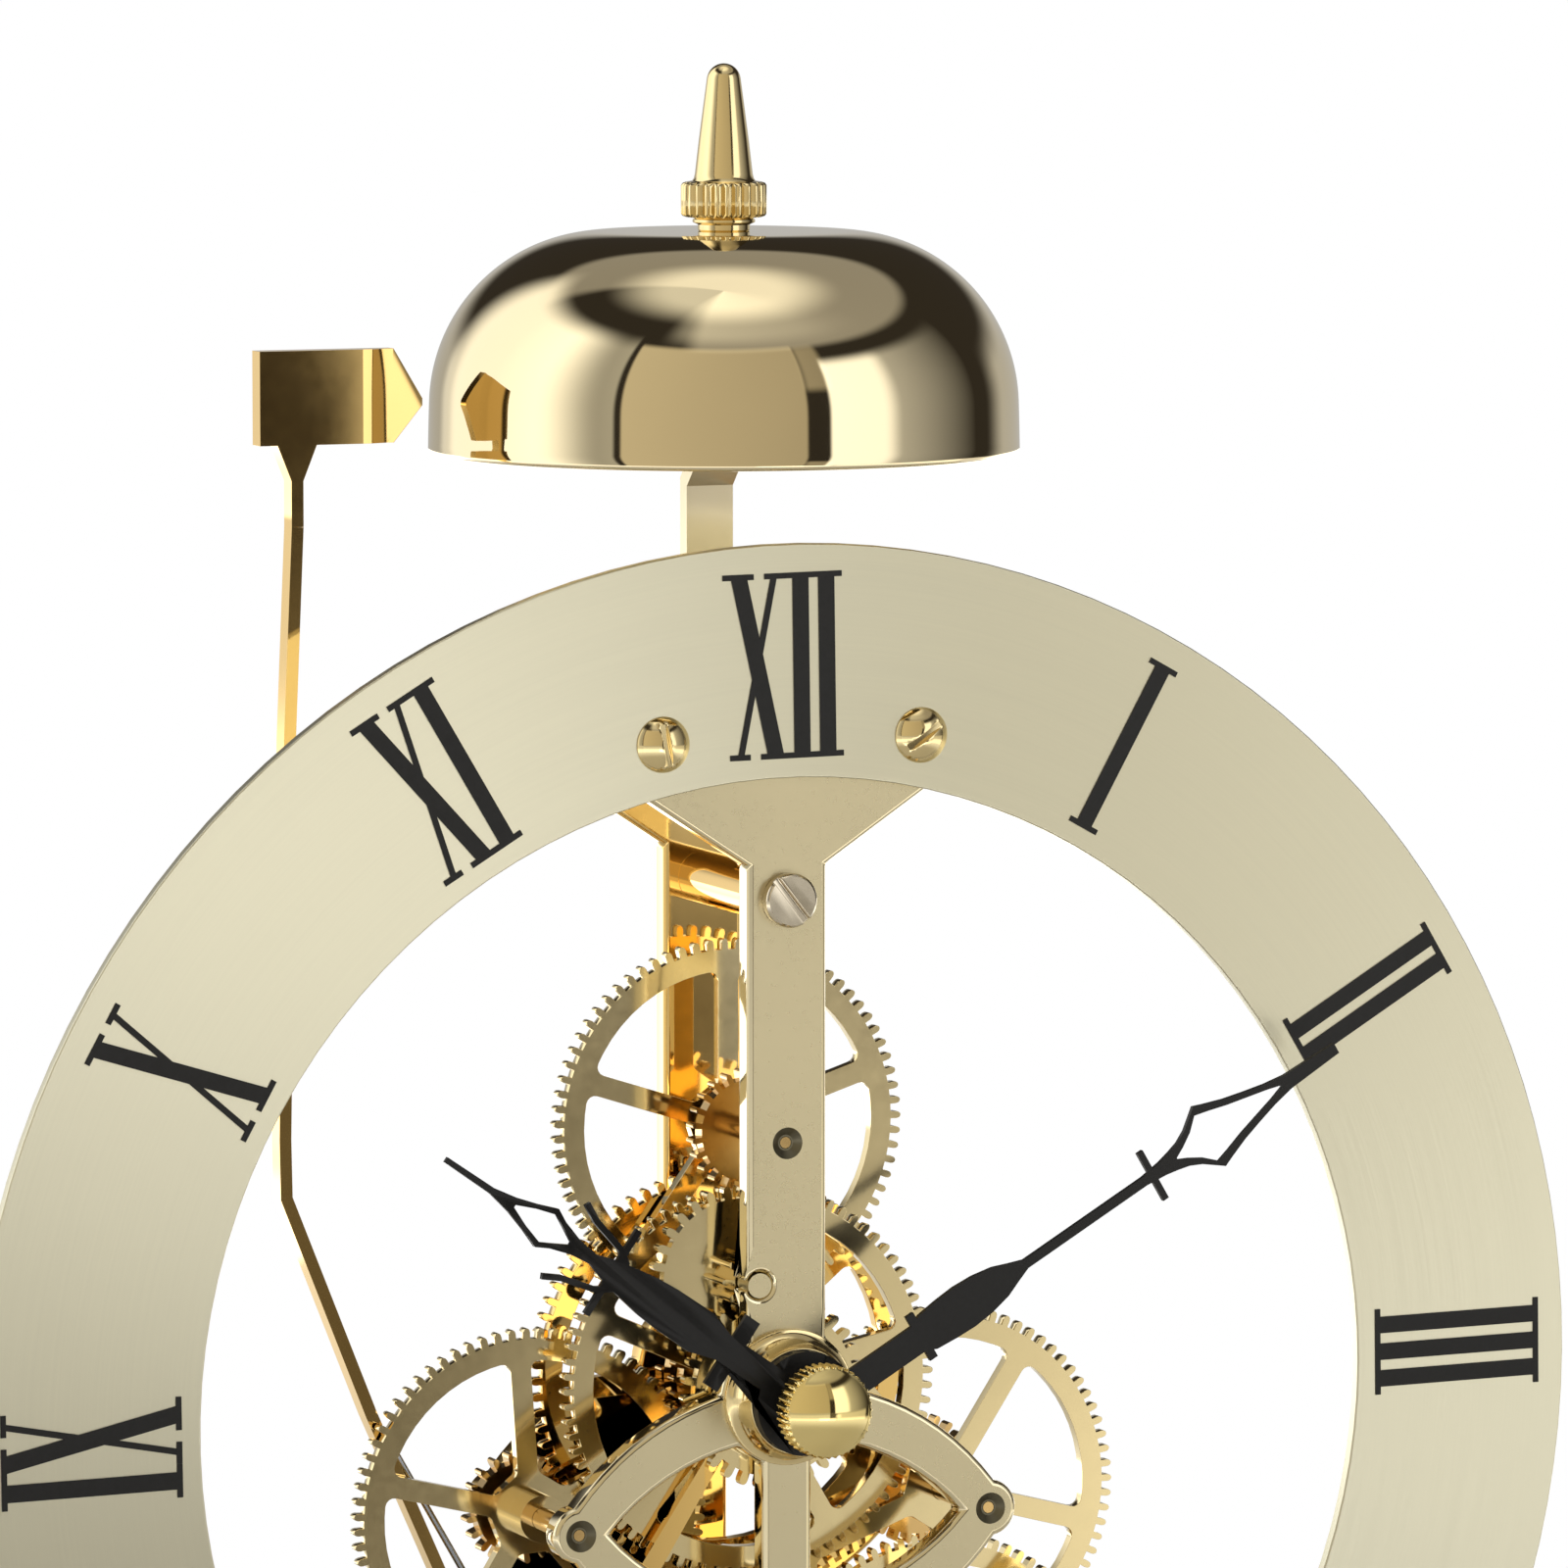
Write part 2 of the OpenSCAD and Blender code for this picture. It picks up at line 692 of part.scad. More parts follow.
// Strokes of the Roman figures: top x, foot x, width, serif width at the top and at the foot
figure_gap = 2.42;
figure_span = 3.4;
serif_w = 2.9;
hair_serif_w = 1.9;
serif_t = 0.5;
function glyph(c, x) =
    c == "I" ? [[x, x, numeral_stroke, serif_w, serif_w]] :
    c == "X" ? [
        [x, x + figure_span, numeral_stroke, serif_w, serif_w],
        [x + figure_span, x, numeral_hairline, hair_serif_w, hair_serif_w],
    ] : [
        [x, x + figure_span / 2, numeral_stroke, serif_w, numeral_stroke],
        [x + figure_span, x + figure_span / 2, numeral_hairline, hair_serif_w,
            numeral_hairline],
    ];
function glyph_end(c, x) = c == "I" ? x : x + figure_span;
function figure_strokes(s, i, x) = i == len(s) ? [] :
    concat(glyph(s[i], x), figure_strokes(s, i + 1, glyph_end(s[i], x) + figure_gap));
function figure_width(s, i, x) = i == len(s) ? x - figure_gap :
    figure_width(s, i + 1, glyph_end(s[i], x) + figure_gap);

module figure(s)
{
    h = numeral_top_r - numeral_foot_r;
    y = front_out - dial_t - numeral_t;
    translate([-figure_width(s, 0, 0) / 2, 0, numeral_foot_r])
        for (k = figure_strokes(s, 0, 0)) {
            slab(y, numeral_t) {
                polygon([
                    [k[0] - k[2] / 2, h], [k[0] + k[2] / 2, h],
                    [k[1] + k[2] / 2, 0], [k[1] - k[2] / 2, 0],
                ]);
                translate([k[0] - k[3] / 2, h - serif_t]) square([k[3], serif_t]);
                translate([k[1] - k[4] / 2, 0]) square([k[4], serif_t]);
            }
        }
}

module numerals()
{
    figures = ["XII", "I", "II", "III", "IV", "V", "VI", "VII", "VIII", "IX", "X", "XI"];
    color("#1c1a18") at(hub_at) for (i = [0:11]) {
        rotate([0, 30 * i - numeral_turn, 0]) figure(figures[i]);
    }
}

module centre_boss()
{
    dish = boss_r - boss_front_r;
    color("#d6b45a") at(hub_at) translate([0, front_in, 0]) rotate([90, 0, 0])
        rotate_extrude($fn = 96) difference() {
            union() {
                square([boss_tenon_r, plate_t + boss_l]);
                translate([0, plate_t]) square([boss_r, 0.6]);
                translate([0, plate_t]) square([boss_front_r, boss_l]);
                difference() {
                    translate([0, plate_t]) square([boss_r, boss_l]);
                    translate([boss_r, plate_t + boss_l]) scale([dish, boss_l - 0.6])
                        circle(1);
                }
            }
            translate([-1, -1]) square([hour_pipe_r + run_fit + 1, plate_t + boss_l + 2]);
        }
}

// The centre arbor turns once an hour and carries the hands' drive
module centre_arbor()
{
    color("#8c8c88") at(hub_at) {
        rod(nut_front_y + 0.6, front_in + CAM_LAYER - 0.2, centre_front_r);
        rod(front_in + CAM_LAYER - 0.2, front_in + SECOND_LAYER + wheel_t + 0.1,
            centre_body_r);
        rod(front_in + SECOND_LAYER, rear_in - end_play, centre_rear_r);
        rod(rear_in - 1, rear_out - sink_depth, centre_pivot_r);
        difference() {
            pinion(CENTRE_PINION, train_m, PINION_LEAF, front_in + SECOND_LAYER - 0.3,
                front_in + SECOND_LAYER + wheel_t + 0.1, centre_pinion_turn);
            rod(front_in, rear_in, centre_rear_r / 2);
        }
    }
}

nut_front_y = minute_hand_y - nut_gap - knurl_l - nut_dome_l;

module centre_wheel()
{
    color("#cdbb88") at(hub_at) {
        slab(front_in + CENTRE_LAYER, wheel_t + 0.1)
            wheel_2d(CENTRE_TEETH, train_m, centre_body_r + seat_fit, hub_r, centre_turn,
                centre_spokes);
        difference() {
            rod(front_in + CAM_LAYER + 1.2, front_in + CENTRE_LAYER, 2.8);
            rod(front_in, rear_in, centre_body_r + seat_fit);
        }
    }
}

cam_r = 4.4;

module strike_cam()
{
    color("#d6b45a") at(hub_at) slab(front_in + CAM_LAYER, 1) difference() {
        union() {
            circle(2.9);
            for (a = [150, 330]) {
                rotate(a) polygon([[0, -2.8], [cam_r * 0.75, -2.2], [cam_r, -0.4],
                    [cam_r, 0.4], [2.6, 1.2]]);
            }
        }
        circle(centre_body_r + seat_fit);
    }
}

module cannon_pinion()
{
    color("#9a9a94") at(hub_at) difference() {
        union() {
            pinion(CANNON_TEETH, motion_m, SMALL_LEAF, front_in + MINUTE_LAYER - leaf_reach,
                front_in + MINUTE_LAYER + 1 + leaf_reach, cannon_turn);
            rod(minute_hand_y, front_in + MINUTE_LAYER, cannon_r);
        }
        rod(minute_hand_y - 1, rear_in, centre_front_r + seat_fit);
    }
}

module hour_wheel()
{
    color("#cdbb88") at(hub_at) {
        slab(front_in + HOUR_LAYER, 1) difference() {
            rotate(hour_turn) polygon(gear_points(HOUR_TEETH, motion_m, WHEEL_TOOTH));
            circle(cannon_r + run_fit);
        }
        difference() {
            rod(hour_hand_y, front_in + HOUR_LAYER + 0.1, hour_pipe_r);
            rod(hour_hand_y - 1, front_in + HOUR_LAYER + 2, cannon_r + run_fit);
        }
    }
}

module minute_wheel()
{
    color("#cdbb88") at(minute_post_at) difference() {
        union() {
            slab(front_in + MINUTE_LAYER, 1) rotate(minute_turn)
                polygon(gear_points(MINUTE_TEETH, motion_m, WHEEL_TOOTH));
            pinion(MINUTE_PINION, motion_m, SMALL_LEAF, front_in + HOUR_LAYER - leaf_reach,
                front_in + MINUTE_LAYER + 0.1, minute_pinion_turn);
        }
        rod(front_in, rear_in, post_slim_r + run_fit);
    }
}

post_slim_r = 0.8;

module minute_wheel_post()
{
    post_end = front_in + MINUTE_LAYER + 1.2;
    color("#b9ad8c") at(minute_post_at) {
        rod(front_out, front_in, post_pin_r);
        rod(front_in - 0.1, post_end + 0.3, post_slim_r);
        rod(post_end, post_end + 0.5, post_slim_r + 0.5);
    }
}

// Both hands point along +Y in their own plane before they are turned
hour_tip_r = 40.6;
hour_outline = [
    [3.4, 1.25], [9.5, 1.25], [12, 2], [16, 1.95], [18, 1.8], [20, 1.5], [22, 1.15],
    [24.2, 0.5], [26.2, 0.75], [28.2, 1.35], [29.4, 1.95], [31.2, 1.3], [33.2, 0.72],
    [35.5, 0.3], [hour_tip_r, 0.25],
];
hour_loop = [[26.8, 0.12], [28.2, 0.85], [29.3, 1.4], [31.2, 0.85], [33, 0.12]];
minute_tip_r = 57.5;
minute_outline = [
    [1.5, 1.3], [11, 1.3], [12, 1.75], [14, 1.95], [16, 2.05], [18, 1.9], [20, 1.5],
    [21.5, 0.9], [22.8, 0.42], [36, 0.42], [38, 0.65], [39.2, 0.9], [40.3, 1.2],
    [41.4, 1.75], [43.2, 3.15], [44.2, 2.75], [46, 2.1], [48, 1.55], [50, 1.05],
    [52, 0.7], [minute_tip_r, 0.5],
];
minute_loop = [
    [39.6, 0.1], [40.6, 0.6], [41.8, 1.35], [42.9, 2.4], [44.2, 2.05], [46, 1.5],
    [48, 1], [50, 0.5], [51.3, 0.1],
];

// A flat hand: an outline with an open loop, pointing at angle a clockwise from twelve
module hand_blade(y, a, outline, loop)
{
    rotate([0, a, 0]) {
        difference() {
            slab(y, hand_t) polygon(mirrored(outline));
            slab(y - 1, hand_t + 2) polygon(mirrored(loop));
        }
        children();
    }
}

module hour_hand()
{
    barb = [[1.2, 21.2], [2.1, 22.6], [2.5, 24.2], [2.9, 25.8], [3.7, 27.4]];
    color("#1c1a18") at(hub_at) difference() {
        union() {
            hand_blade(hour_hand_y, hour_angle, hour_outline, hour_loop) {
                strip(hour_hand_y, hand_t, [[-3.5, 8.5], [3.5, 8.5]], 1.5);
                strip(hour_hand_y, hand_t, [[-4.3, 22], [4.3, 22]], 0.6);
                strip(hour_hand_y, hand_t, barb, 0.55);
                strip(hour_hand_y, hand_t, [for (p = barb) [-p[0], p[1]]], 0.55);
            }
            rod(hour_hand_y, hour_hand_y + hour_collar_l, hour_collar_r);
        }
        rod(hour_hand_y - 1, front_in, hour_pipe_r + seat_fit);
    }
}

module minute_hand()
{
    color("#1c1a18") at(hub_at) difference() {
        union() {
            hand_blade(minute_hand_y, minute_angle, minute_outline, minute_loop) {
                strip(minute_hand_y, hand_t, [[-2.3, 11.3], [2.3, 11.3]], 0.8);
                strip(minute_hand_y, hand_t, [[-2.5, 36.9], [2.5, 36.9]], 0.6);
            }
            rod(minute_hand_y, minute_hand_y + minute_collar_l, minute_collar_r);
        }
        rod(minute_hand_y - 1, front_in, cannon_r + seat_fit);
    }
}

module hand_nut()
{
    base_y = minute_hand_y - nut_gap;
    dome_r = (hand_nut_r * hand_nut_r + nut_dome_l * nut_dome_l) / (2 * nut_dome_l);
    knurls = 40;
    color("#d6b45a") at(hub_at) difference() {
        union() {
            rod(base_y - knurl_l, base_y, hand_nut_r - 0.25);
            slab(base_y - knurl_l + 0.15, knurl_l - 0.3) for (i = [0:knurls - 1]) {
                rotate(i * 360 / knurls) translate([hand_nut_r - 0.5, -0.17])
                    square([0.5, 0.34]);
            }
            intersection() {
                translate([0, base_y - knurl_l - nut_dome_l + dome_r, 0]) sphere(r = dome_r);
                rod(base_y - knurl_l - nut_dome_l - 1, base_y - knurl_l + 0.01,
                    hand_nut_r - 0.2);
            }
        }
        rod(nut_front_y + 0.5, base_y + 1, centre_front_r + seat_fit);
    }
}

// An arbor that carries one pinion, with leaves against the layer that drives it
module pinion_arbor(n, m, tooth, layer, t, turn)
{
    plate_arbor(arbor_r, pivot_r);
    pinion(n, m, tooth, front_in + layer - leaf_reach, front_in + layer + t + leaf_reach,
        turn);
}

// A spoked wheel on its arbor, with a collet behind or in front of it
module arbor_wheel(n, layer, turn, spoke_turn, collet)
{
    y = front_in + layer;
    slab(y, wheel_t) wheel_2d(n, train_m, arbor_r + seat_fit, hub_r, turn, spoke_turn);
    difference() {
        rod(min(y, y + collet), max(y, y + collet), 2.1);
        rod(front_in, rear_in, arbor_r + seat_fit);
    }
}

module first_arbor()
{
    color("#8c8c88") at(first_at) pinion_arbor(FIRST_PINION, great_m, PINION_LEAF,
        GREAT_LAYER, great_t, first_pinion_turn);
}

module first_wheel()
{
    color("#cdbb88") at(first_at)
        arbor_wheel(FIRST_TEETH, FIRST_LAYER, first_turn, 30, -2);
}

module second_arbor()
{
    color("#8c8c88") at(right_at) pinion_arbor(SECOND_PINION, train_m, PINION_LEAF,
        FIRST_LAYER, wheel_t, second_pinion_turn);
}

module second_wheel()
{
    color("#cdbb88") at(right_at)
        arbor_wheel(FINE_TEETH, SECOND_LAYER, second_turn, second_spokes, 3);
}

module third_arbor()
{
    color("#8c8c88") at(upper_at) pinion_arbor(THIRD_PINION, train_m, PINION_LEAF,
        CENTRE_LAYER, wheel_t + 0.1, third_pinion_turn);
}

module third_wheel()
{
    color("#cdbb88") at(upper_at)
        arbor_wheel(FINE_TEETH, THIRD_LAYER, third_turn, third_spokes, -2.5);
}

// The pinion and the polished wheel that turn freely on the centre arbor
module pipe_pinion()
{
    color("#d6b45a") at(hub_at) difference() {
        union() {
            rod(front_in + FOURTH_LAYER + 0.2, front_in + PIPE_LAYER + 3.4, pipe_sleeve_r);
            pinion(CENTRE_PINION, train_m, PINION_LEAF, front_in + THIRD_LAYER - leaf_reach,
                front_in + THIRD_LAYER + wheel_t + leaf_reach, pipe_pinion_turn);
        }
        rod(front_in, rear_in, centre_rear_r + run_fit);
    }
}

module pipe_wheel()
{
    color("#e0b040") at(hub_at) slab(front_in + PIPE_LAYER, wheel_t + 0.1)
        wheel_2d(PIPE_TEETH, pipe_m, pipe_sleeve_r + seat_fit, hub_r + 0.9, pipe_turn,
            pipe_spokes);
}

module fourth_arbor()
{
    color("#8c8c88") at(left_at) pinion_arbor(FOURTH_PINION, pipe_m, PINION_LEAF,
        PIPE_LAYER, wheel_t + 0.1, fourth_pinion_turn);
}

module fourth_wheel()
{
    color("#cdbb88") at(left_at)
        arbor_wheel(FINE_TEETH, FOURTH_LAYER, fourth_turn, fourth_spokes, -3);
}

module escape_arbor()
{
    color("#8c8c88") at(escape_at) {
        rod(front_in + end_play, cock_y - end_play, arbor_r);
        rod(front_out + sink_depth, cock_y + cock_t - sink_depth, pivot_r);
        pinion(ESCAPE_PINION, train_m, SMALL_LEAF, front_in + FOURTH_LAYER - leaf_reach,
            front_in + FOURTH_LAYER + wheel_t + leaf_reach, escape_pinion_turn);
    }
}

module escape_wheel()
{
    pitch = 360 / ESCAPE_TEETH;
    root = escape_r - 2;
    color("#d6b45a") at(escape_at) slab(escape_y, 1) difference() {
        polygon([for (i = [0:ESCAPE_TEETH - 1]) let (a = -i * pitch) for (p = [
            polar(root, a), polar(escape_r - 0.1, a + 0.5 * pitch),
            polar(escape_r, a + 0.36 * pitch), polar(root, a - 0.5 * pitch),
        ]) p]);
        circle(arbor_r + seat_fit);
        for (i = [0:SPOKES - 1]) {
            rotate(i * 360 / SPOKES) polygon(
                window_points(root - 0.9, arbor_r + 1, 1, 0.4, 360 / SPOKES));
        }
    }
}

// Pallets stand clear of the escape wheel by the swing and a margin
pallet_clear = 0.7;
pallet_a = direction(escape_at, anchor_at);

module anchor()
{
    to_escape = escape_at - anchor_at;
    tips = [for (s = [-1, 1]) to_escape + polar(escape_r + pallet_clear,
        pallet_a + s * pallet_span / 2)];
    roots = [for (s = [-1, 1]) to_escape + polar(escape_r + pallet_clear + 2.4,
        pallet_a + s * pallet_span / 2)];
    color("#b8b8b4") at(anchor_at) difference() {
        union() {
            rod(escape_y - 0.2, escape_y + 1.2, 2.4);
            for (i = [0:1]) {
                strip(escape_y - 0.2, 1.4, [[0, 0], roots[i]], 2);
                slab(escape_y - 0.2, 1.4) bar_2d(roots[i], tips[i], 1.1);
            }
        }
        rod(rear_out, cock_y, arbor_r + seat_fit);
    }
}

module anchor_arbor()
{
    arm = crutch_drop;
    color("#8c8c88") at(anchor_at) {
        rod(rear_out + end_play, cock_y - end_play, arbor_r);
        rod(rear_in + 0.5, cock_y + cock_t - sink_depth, pivot_r);
        rod(crutch_y - 0.5, crutch_y + 1.5, 2.2);
        translate([-1, crutch_y, -arm]) cube([2, 1, arm]);
        difference() {
            translate([-2.6, crutch_y, -arm]) cube([5.2, pendulum_y - crutch_y + 3, 1]);
            translate([-rod_r - 0.15, pendulum_y - rod_r - 0.5, -arm - 1])
                cube([2 * rod_r + 0.3, 10, 3]);
        }
    }
}

module back_cock()
{
    color("#d6b45a") at(hub_at) difference() {
        union() {
            slab(cock_y, cock_t) {
                for (p = cock_foot_at) {
                    bar_2d(p, anchor_at, 6);
                    translate(p) circle(3);
                }
                bar_2d(escape_at, anchor_at, 6);
                translate(escape_at) circle(3);
                translate(anchor_at) circle(4.2);
                bar_2d(anchor_at, anchor_at + [0, bracket_h], 6);
            }
            for (p = cock_foot_at) {
                translate([p[0], 0, p[1]]) rod(rear_out, cock_y + 0.1, 2.4);
            }
        }
        for (p = cock_foot_at) {
            translate([p[0], 0, p[1]]) rod(rear_out - 1, cock_y + 3, thread_r + seat_fit);
        }
        for (p = [escape_at, anchor_at]) {
            translate([p[0], 0, p[1]]) pivot_hole(cock_y, cock_y + cock_t, pivot_r);
        }
        translate([0, 0, anchor_at[1] + bracket_screw_h])
            rod(cock_y - 1, cock_y + 3, thread_r + seat_fit);
    }
}

bracket_h = 10.5;
bracket_screw_h = 8.2;
bracket_bridge_h = 3;
bracket_cheek_t = 1;

module cock_screws()
{
    color("#d8c890") at(hub_at) {
        for (p = cock_foot_at) {
            translate([p[0], 0, p[1]]) face_rear(cock_y + cock_t)
                screw(2.2, 1.2, thread_r, cock_t + cock_y - rear_in - 0.5, 0);
        }
        translate([0, 0, anchor_at[1] + bracket_screw_h])
            face_rear(cock_y + cock_t + bracket_foot_t)
                screw(2, 1, thread_r, cock_t + bracket_foot_t - 0.3, 0);
    }
}

bracket_foot_t = 1.6;

module suspension_bracket()
{
    y0 = cock_y + cock_t;
    y1 = pendulum_y + hook_t / 2 + 0.3;
    color("#d6b45a") at(anchor_at) difference() {
        union() {
            translate([-3, y0, -2.2]) cube([6, bracket_foot_t, bracket_h + 2.2]);
            translate([-2.2, y0, bracket_bridge_h])
                cube([4.4, y1 + bracket_cheek_t - y0, 2.4]);
            translate([-2.2, y1, -2.2])
                cube([4.4, bracket_cheek_t, bracket_bridge_h + 2.3]);
        }
        rod(y0 - 1, y0 + 0.8, 1.2);
        rod(y0, y1 + 5, pin_r + seat_fit);
        translate([0, 0, bracket_screw_h]) rod(y0 - 1, y0 + 5, thread_r + seat_fit);
    }
}

pin_r = 0.6;

module suspension_pin()
{
    color("#8c8c88") at(anchor_at) rod(cock_y + cock_t + 0.8,
        pendulum_y + hook_t / 2 + 0.3 + bracket_cheek_t + 0.5, pin_r);
}

hook_drop = 8;
nut_h = 3;
rod_tail = 6;

module pendulum_rod()
{
    color("#a8a8a2") at(anchor_at) {
        difference() {
            union() {
                slab(pendulum_y - hook_t / 2, hook_t) bar_2d([0, 0], [0, -hook_drop], 2.6);
                slab(pendulum_y - hook_t / 2, hook_t) circle(1.7);
            }
            rod(pendulum_y - 5, pendulum_y + 5, pin_r + run_fit);
        }
        translate([0, pendulum_y, -pendulum_l - bob_r - rod_tail])
            cylinder(h = pendulum_l + bob_r + rod_tail - hook_drop + 2, r = rod_r);
    }
}

module pendulum_bob()
{
    lens_r = (bob_r * bob_r + bob_t * bob_t / 4) / bob_t;
    color("#d6b45a") at(anchor_at) translate([0, pendulum_y, -pendulum_l]) difference() {
        intersection() {
            translate([0, lens_r - bob_t / 2, 0]) sphere(r = lens_r, $fn = 128);
            translate([0, bob_t / 2 - lens_r, 0]) sphere(r = lens_r, $fn = 128);
            rod(-bob_t, bob_t, bob_r - 0.3);
        }
        translate([0, 0, -bob_r - 1]) cylinder(h = 2 * bob_r + 2, r = rod_r + run_fit);
    }
}

module rating_nut()
{
    top = -pendulum_l - bob_r + 0.3;
    ribs = 16;
    color("#d6b45a") at(anchor_at) translate([0, pendulum_y, top - nut_h]) difference() {
        union() {
            cylinder(h = nut_h - 0.02, r = 2.4);
            translate([0, 0, 0.3]) linear_extrude(nut_h - 0.9) for (i = [0:ribs - 1]) {
                rotate(i * 360 / ribs) translate([2.3, -0.25]) square([0.4, 0.5]);
            }
        }
        translate([0, 0, -1]) cylinder(h = nut_h + 2, r = rod_r + run_fit);
    }
}

drum_back = front_in + GREAT_LAYER + great_t + drum_l;
drum_bottom_t = 1;
cover_t = 1;
cover_back = drum_back - 0.3;

module barrel()
{
    y = front_in + GREAT_LAYER;
    color("#c9a63a") at(barrel_at) difference() {
        union() {
            slab(y, great_t) rotate(great_turn)
                polygon(gear_points(GREAT_TEETH, great_m, WHEEL_TOOTH));
            rod(y + great_t - 0.01, drum_back, drum_r);
        }
        rod(y + great_t + drum_bottom_t, drum_back + 1, drum_r - drum_wall);
        rod(y - 1, drum_back, winding_r + run_fit);
    }
}

module barrel_cover()
{
    color("#d6b45a") at(barrel_at) difference() {
        rod(cover_back - cover_t, cover_back, drum_r - drum_wall - seat_fit);
        rod(y0_cover - 1, cover_back + 1, winding_r + run_fit);
    }
}

y0_cover = cover_back - cover_t;
winding_hub_r = 4.4;

// The mainspring is one strip wound in a flat spiral between the hub and the drum
module mainspring()
{
    r0 = winding_hub_r + 0.6;
    r1 = drum_r - drum_wall - spring_t - 0.1;
    turns = 9;
    steps = turns * 20;
    function spiral(r_add, i) = polar(r0 + (r1 - r0) * i / steps + r_add, i * 18);
    y = front_in + GREAT_LAYER + great_t + drum_bottom_t + 0.2;
    color("#6f7a86") at(barrel_at) slab(y, y0_cover - 0.2 - y) polygon(concat(
        [for (i = [0:steps]) spiral(0, i)],
        [for (i = [steps:-1:0]) spiral(spring_t, i)]
    ));
}

ratchet_t = 1.6;

module winding_arbor()
{
    hub0 = front_in + GREAT_LAYER + great_t + drum_bottom_t + 0.15;
    s = winding_square;
    color("#8c8c88") at(barrel_at) {
        rod(front_in + end_play, rear_in - end_play, winding_r);
        rod(hub0, y0_cover - 0.15, winding_hub_r);
        rod(front_out, rear_out, winding_pivot_r);
        slab(front_out - winding_l, winding_l + 1) translate([-s / 2, -s / 2]) square(s);
        slab(rear_out - 1, ratchet_t + 1.8) translate([-s / 2, -s / 2]) square(s);
    }
}

// The click lies along the tangent that its nose makes with the ratchet wheel
click_swing = acos(ratchet_r / click_d);
click_l = side(click_d, ratchet_r);
ratchet_depth = 1.1;

// Saw teeth that let the arbor turn anticlockwise, as seen from the dial side
module ratchet_wheel()
{
    pitch = 360 / RATCHET_TEETH;
    root = ratchet_r - ratchet_depth;
    s = winding_square + 2 * seat_fit;
    color("#a8a8a2") at(barrel_at) slab(ratchet_y, ratchet_t) difference() {
        rotate(click_swing - 90) polygon([for (i = [0:RATCHET_TEETH - 1])
            let (a = i * pitch) for (p = [polar(root, a - 1), polar(ratchet_r, a)]) p]);
        translate([-s / 2, -s / 2]) square(s);
    }
}

module click()
{
    y1 = ratchet_y + ratchet_t;
    color("#a8a8a2") at(click_at) difference() {
        union() {
            rod(ratchet_y, y1, click_r);
            slab(ratchet_y, ratchet_t) rotate(click_swing) polygon([
                [-0.5, click_r - 0.1], [click_l - 4.2, 0.5], [click_l - 2.1, -0.15],
                [click_l - 0.35, ratchet_depth - 0.35], [click_l - 0.25, -0.3],
                [click_l - 1.4, -1.2], [4, -2.1], [0, -click_r],
            ]);
        }
        rod(ratchet_y - 1, y1 + 1, thread_r + run_fit);
    }
}

click_r = 2.5;

module click_screw()
{
    color("#d8c890") at(click_at) face_rear(ratchet_y + ratchet_t + 0.1)
        screw(2.2, 1.1, thread_r, ratchet_t + 0.1 + ratchet_y - rear_in - 0.4, 0);
}

// The spring's tip stands off the click far enough for the click to lift over a tooth
module click_spring()
{
    tip = click_at + [4.25, 0.4] - click_post_at;
    color("#8c8c88") at(click_post_at) {
        rod(rear_in + 0.5, rear_out + 0.3, thread_r);
        rod(rear_out, ratchet_y + ratchet_t, 1.6);
        strip(rear_out + 0.1, ratchet_t, [[0, 0], [0.6, 5], [-0.5, 8.2], tip], 0.6);
    }
}

bell_hole_r = bell_stud_r + seat_fit;

// Half section of the bell's solid, shrunk inwards by inset
module bell_2d(inset)
{
    r = bell_r - inset;
    shoulder = bell_shoulder_r - inset;
    spring_z = bell_rim_z + bell_skirt;
    translate([0, bell_rim_z]) square([r, bell_skirt + 0.001]);
    translate([0, spring_z]) square([bell_flat_r, shoulder]);
    intersection() {
        translate([bell_flat_r, spring_z]) circle(shoulder, $fn = 128);
        translate([bell_flat_r - 0.001, spring_z]) square(shoulder + 1);
    }
}

module bell()
{
    color("#a8905a") at(hub_at) translate([0, bell_y, 0]) rotate_extrude($fn = 128)
        difference() {
            bell_2d(0);
            difference() {
                bell_2d(bell_wall);
                translate([-1, bell_top_z - bell_wall]) square([bell_r, bell_wall + 1]);
            }
            translate([-1, bell_rim_z - 1]) square([bell_r - bell_wall + 1, 1 + 0.5]);
            translate([-1, bell_top_z - 2 * bell_wall]) square([bell_hole_r + 1, 5]);
        }
}

post_foot_z = 51;
post_bend_z = 79.5;
post_shoulder_l = 6;

module bell_post()
{
    y_low = rear_in - post_t;
    y_high = bell_y - post_t / 2;
    seat_z = bell_top_z - bell_wall;
    color("#d2c08a") at(hub_at) {
        difference() {
            translate([-post_w / 2, 0, 0]) rotate([90, 0, 90]) linear_extrude(post_w)
                polygon([
                    [y_low, post_foot_z], [rear_in, post_foot_z], [rear_in, post_bend_z],
                    [y_high + post_t, post_bend_z + 4], [y_high + post_t, seat_z - 2],
                    [y_high, seat_z - 2], [y_high, post_bend_z + 3.3],
                    [y_low, post_bend_z - 0.7],
                ]);
            for (z = post_screw_z) {
                translate([0, 0, z]) rod(y_low - 1, rear_in + 1, thread_r + seat_fit);
            }
        }
        translate([0, bell_y, seat_z - post_shoulder_l])
            cylinder(h = post_shoulder_l, r = post_w / 2);
        translate([0, bell_y, seat_z - 1])
            cylinder(h = bell_wall + 1 + finial_thread_l, r = bell_stud_r);
    }
}

finial_thread_l = 4;

module bell_post_screws()
{
    color("#d8c890") at(hub_at) for (z = post_screw_z) {
        translate([0, 0, z]) face_front(rear_in - post_t)
            screw(2.2, 1.2, thread_r, post_t + plate_t - 0.3, 0);
    }
}

finial_neck_l = 0.4;
finial_collar_l = 3.1;
finial_taper_l = 8.9;

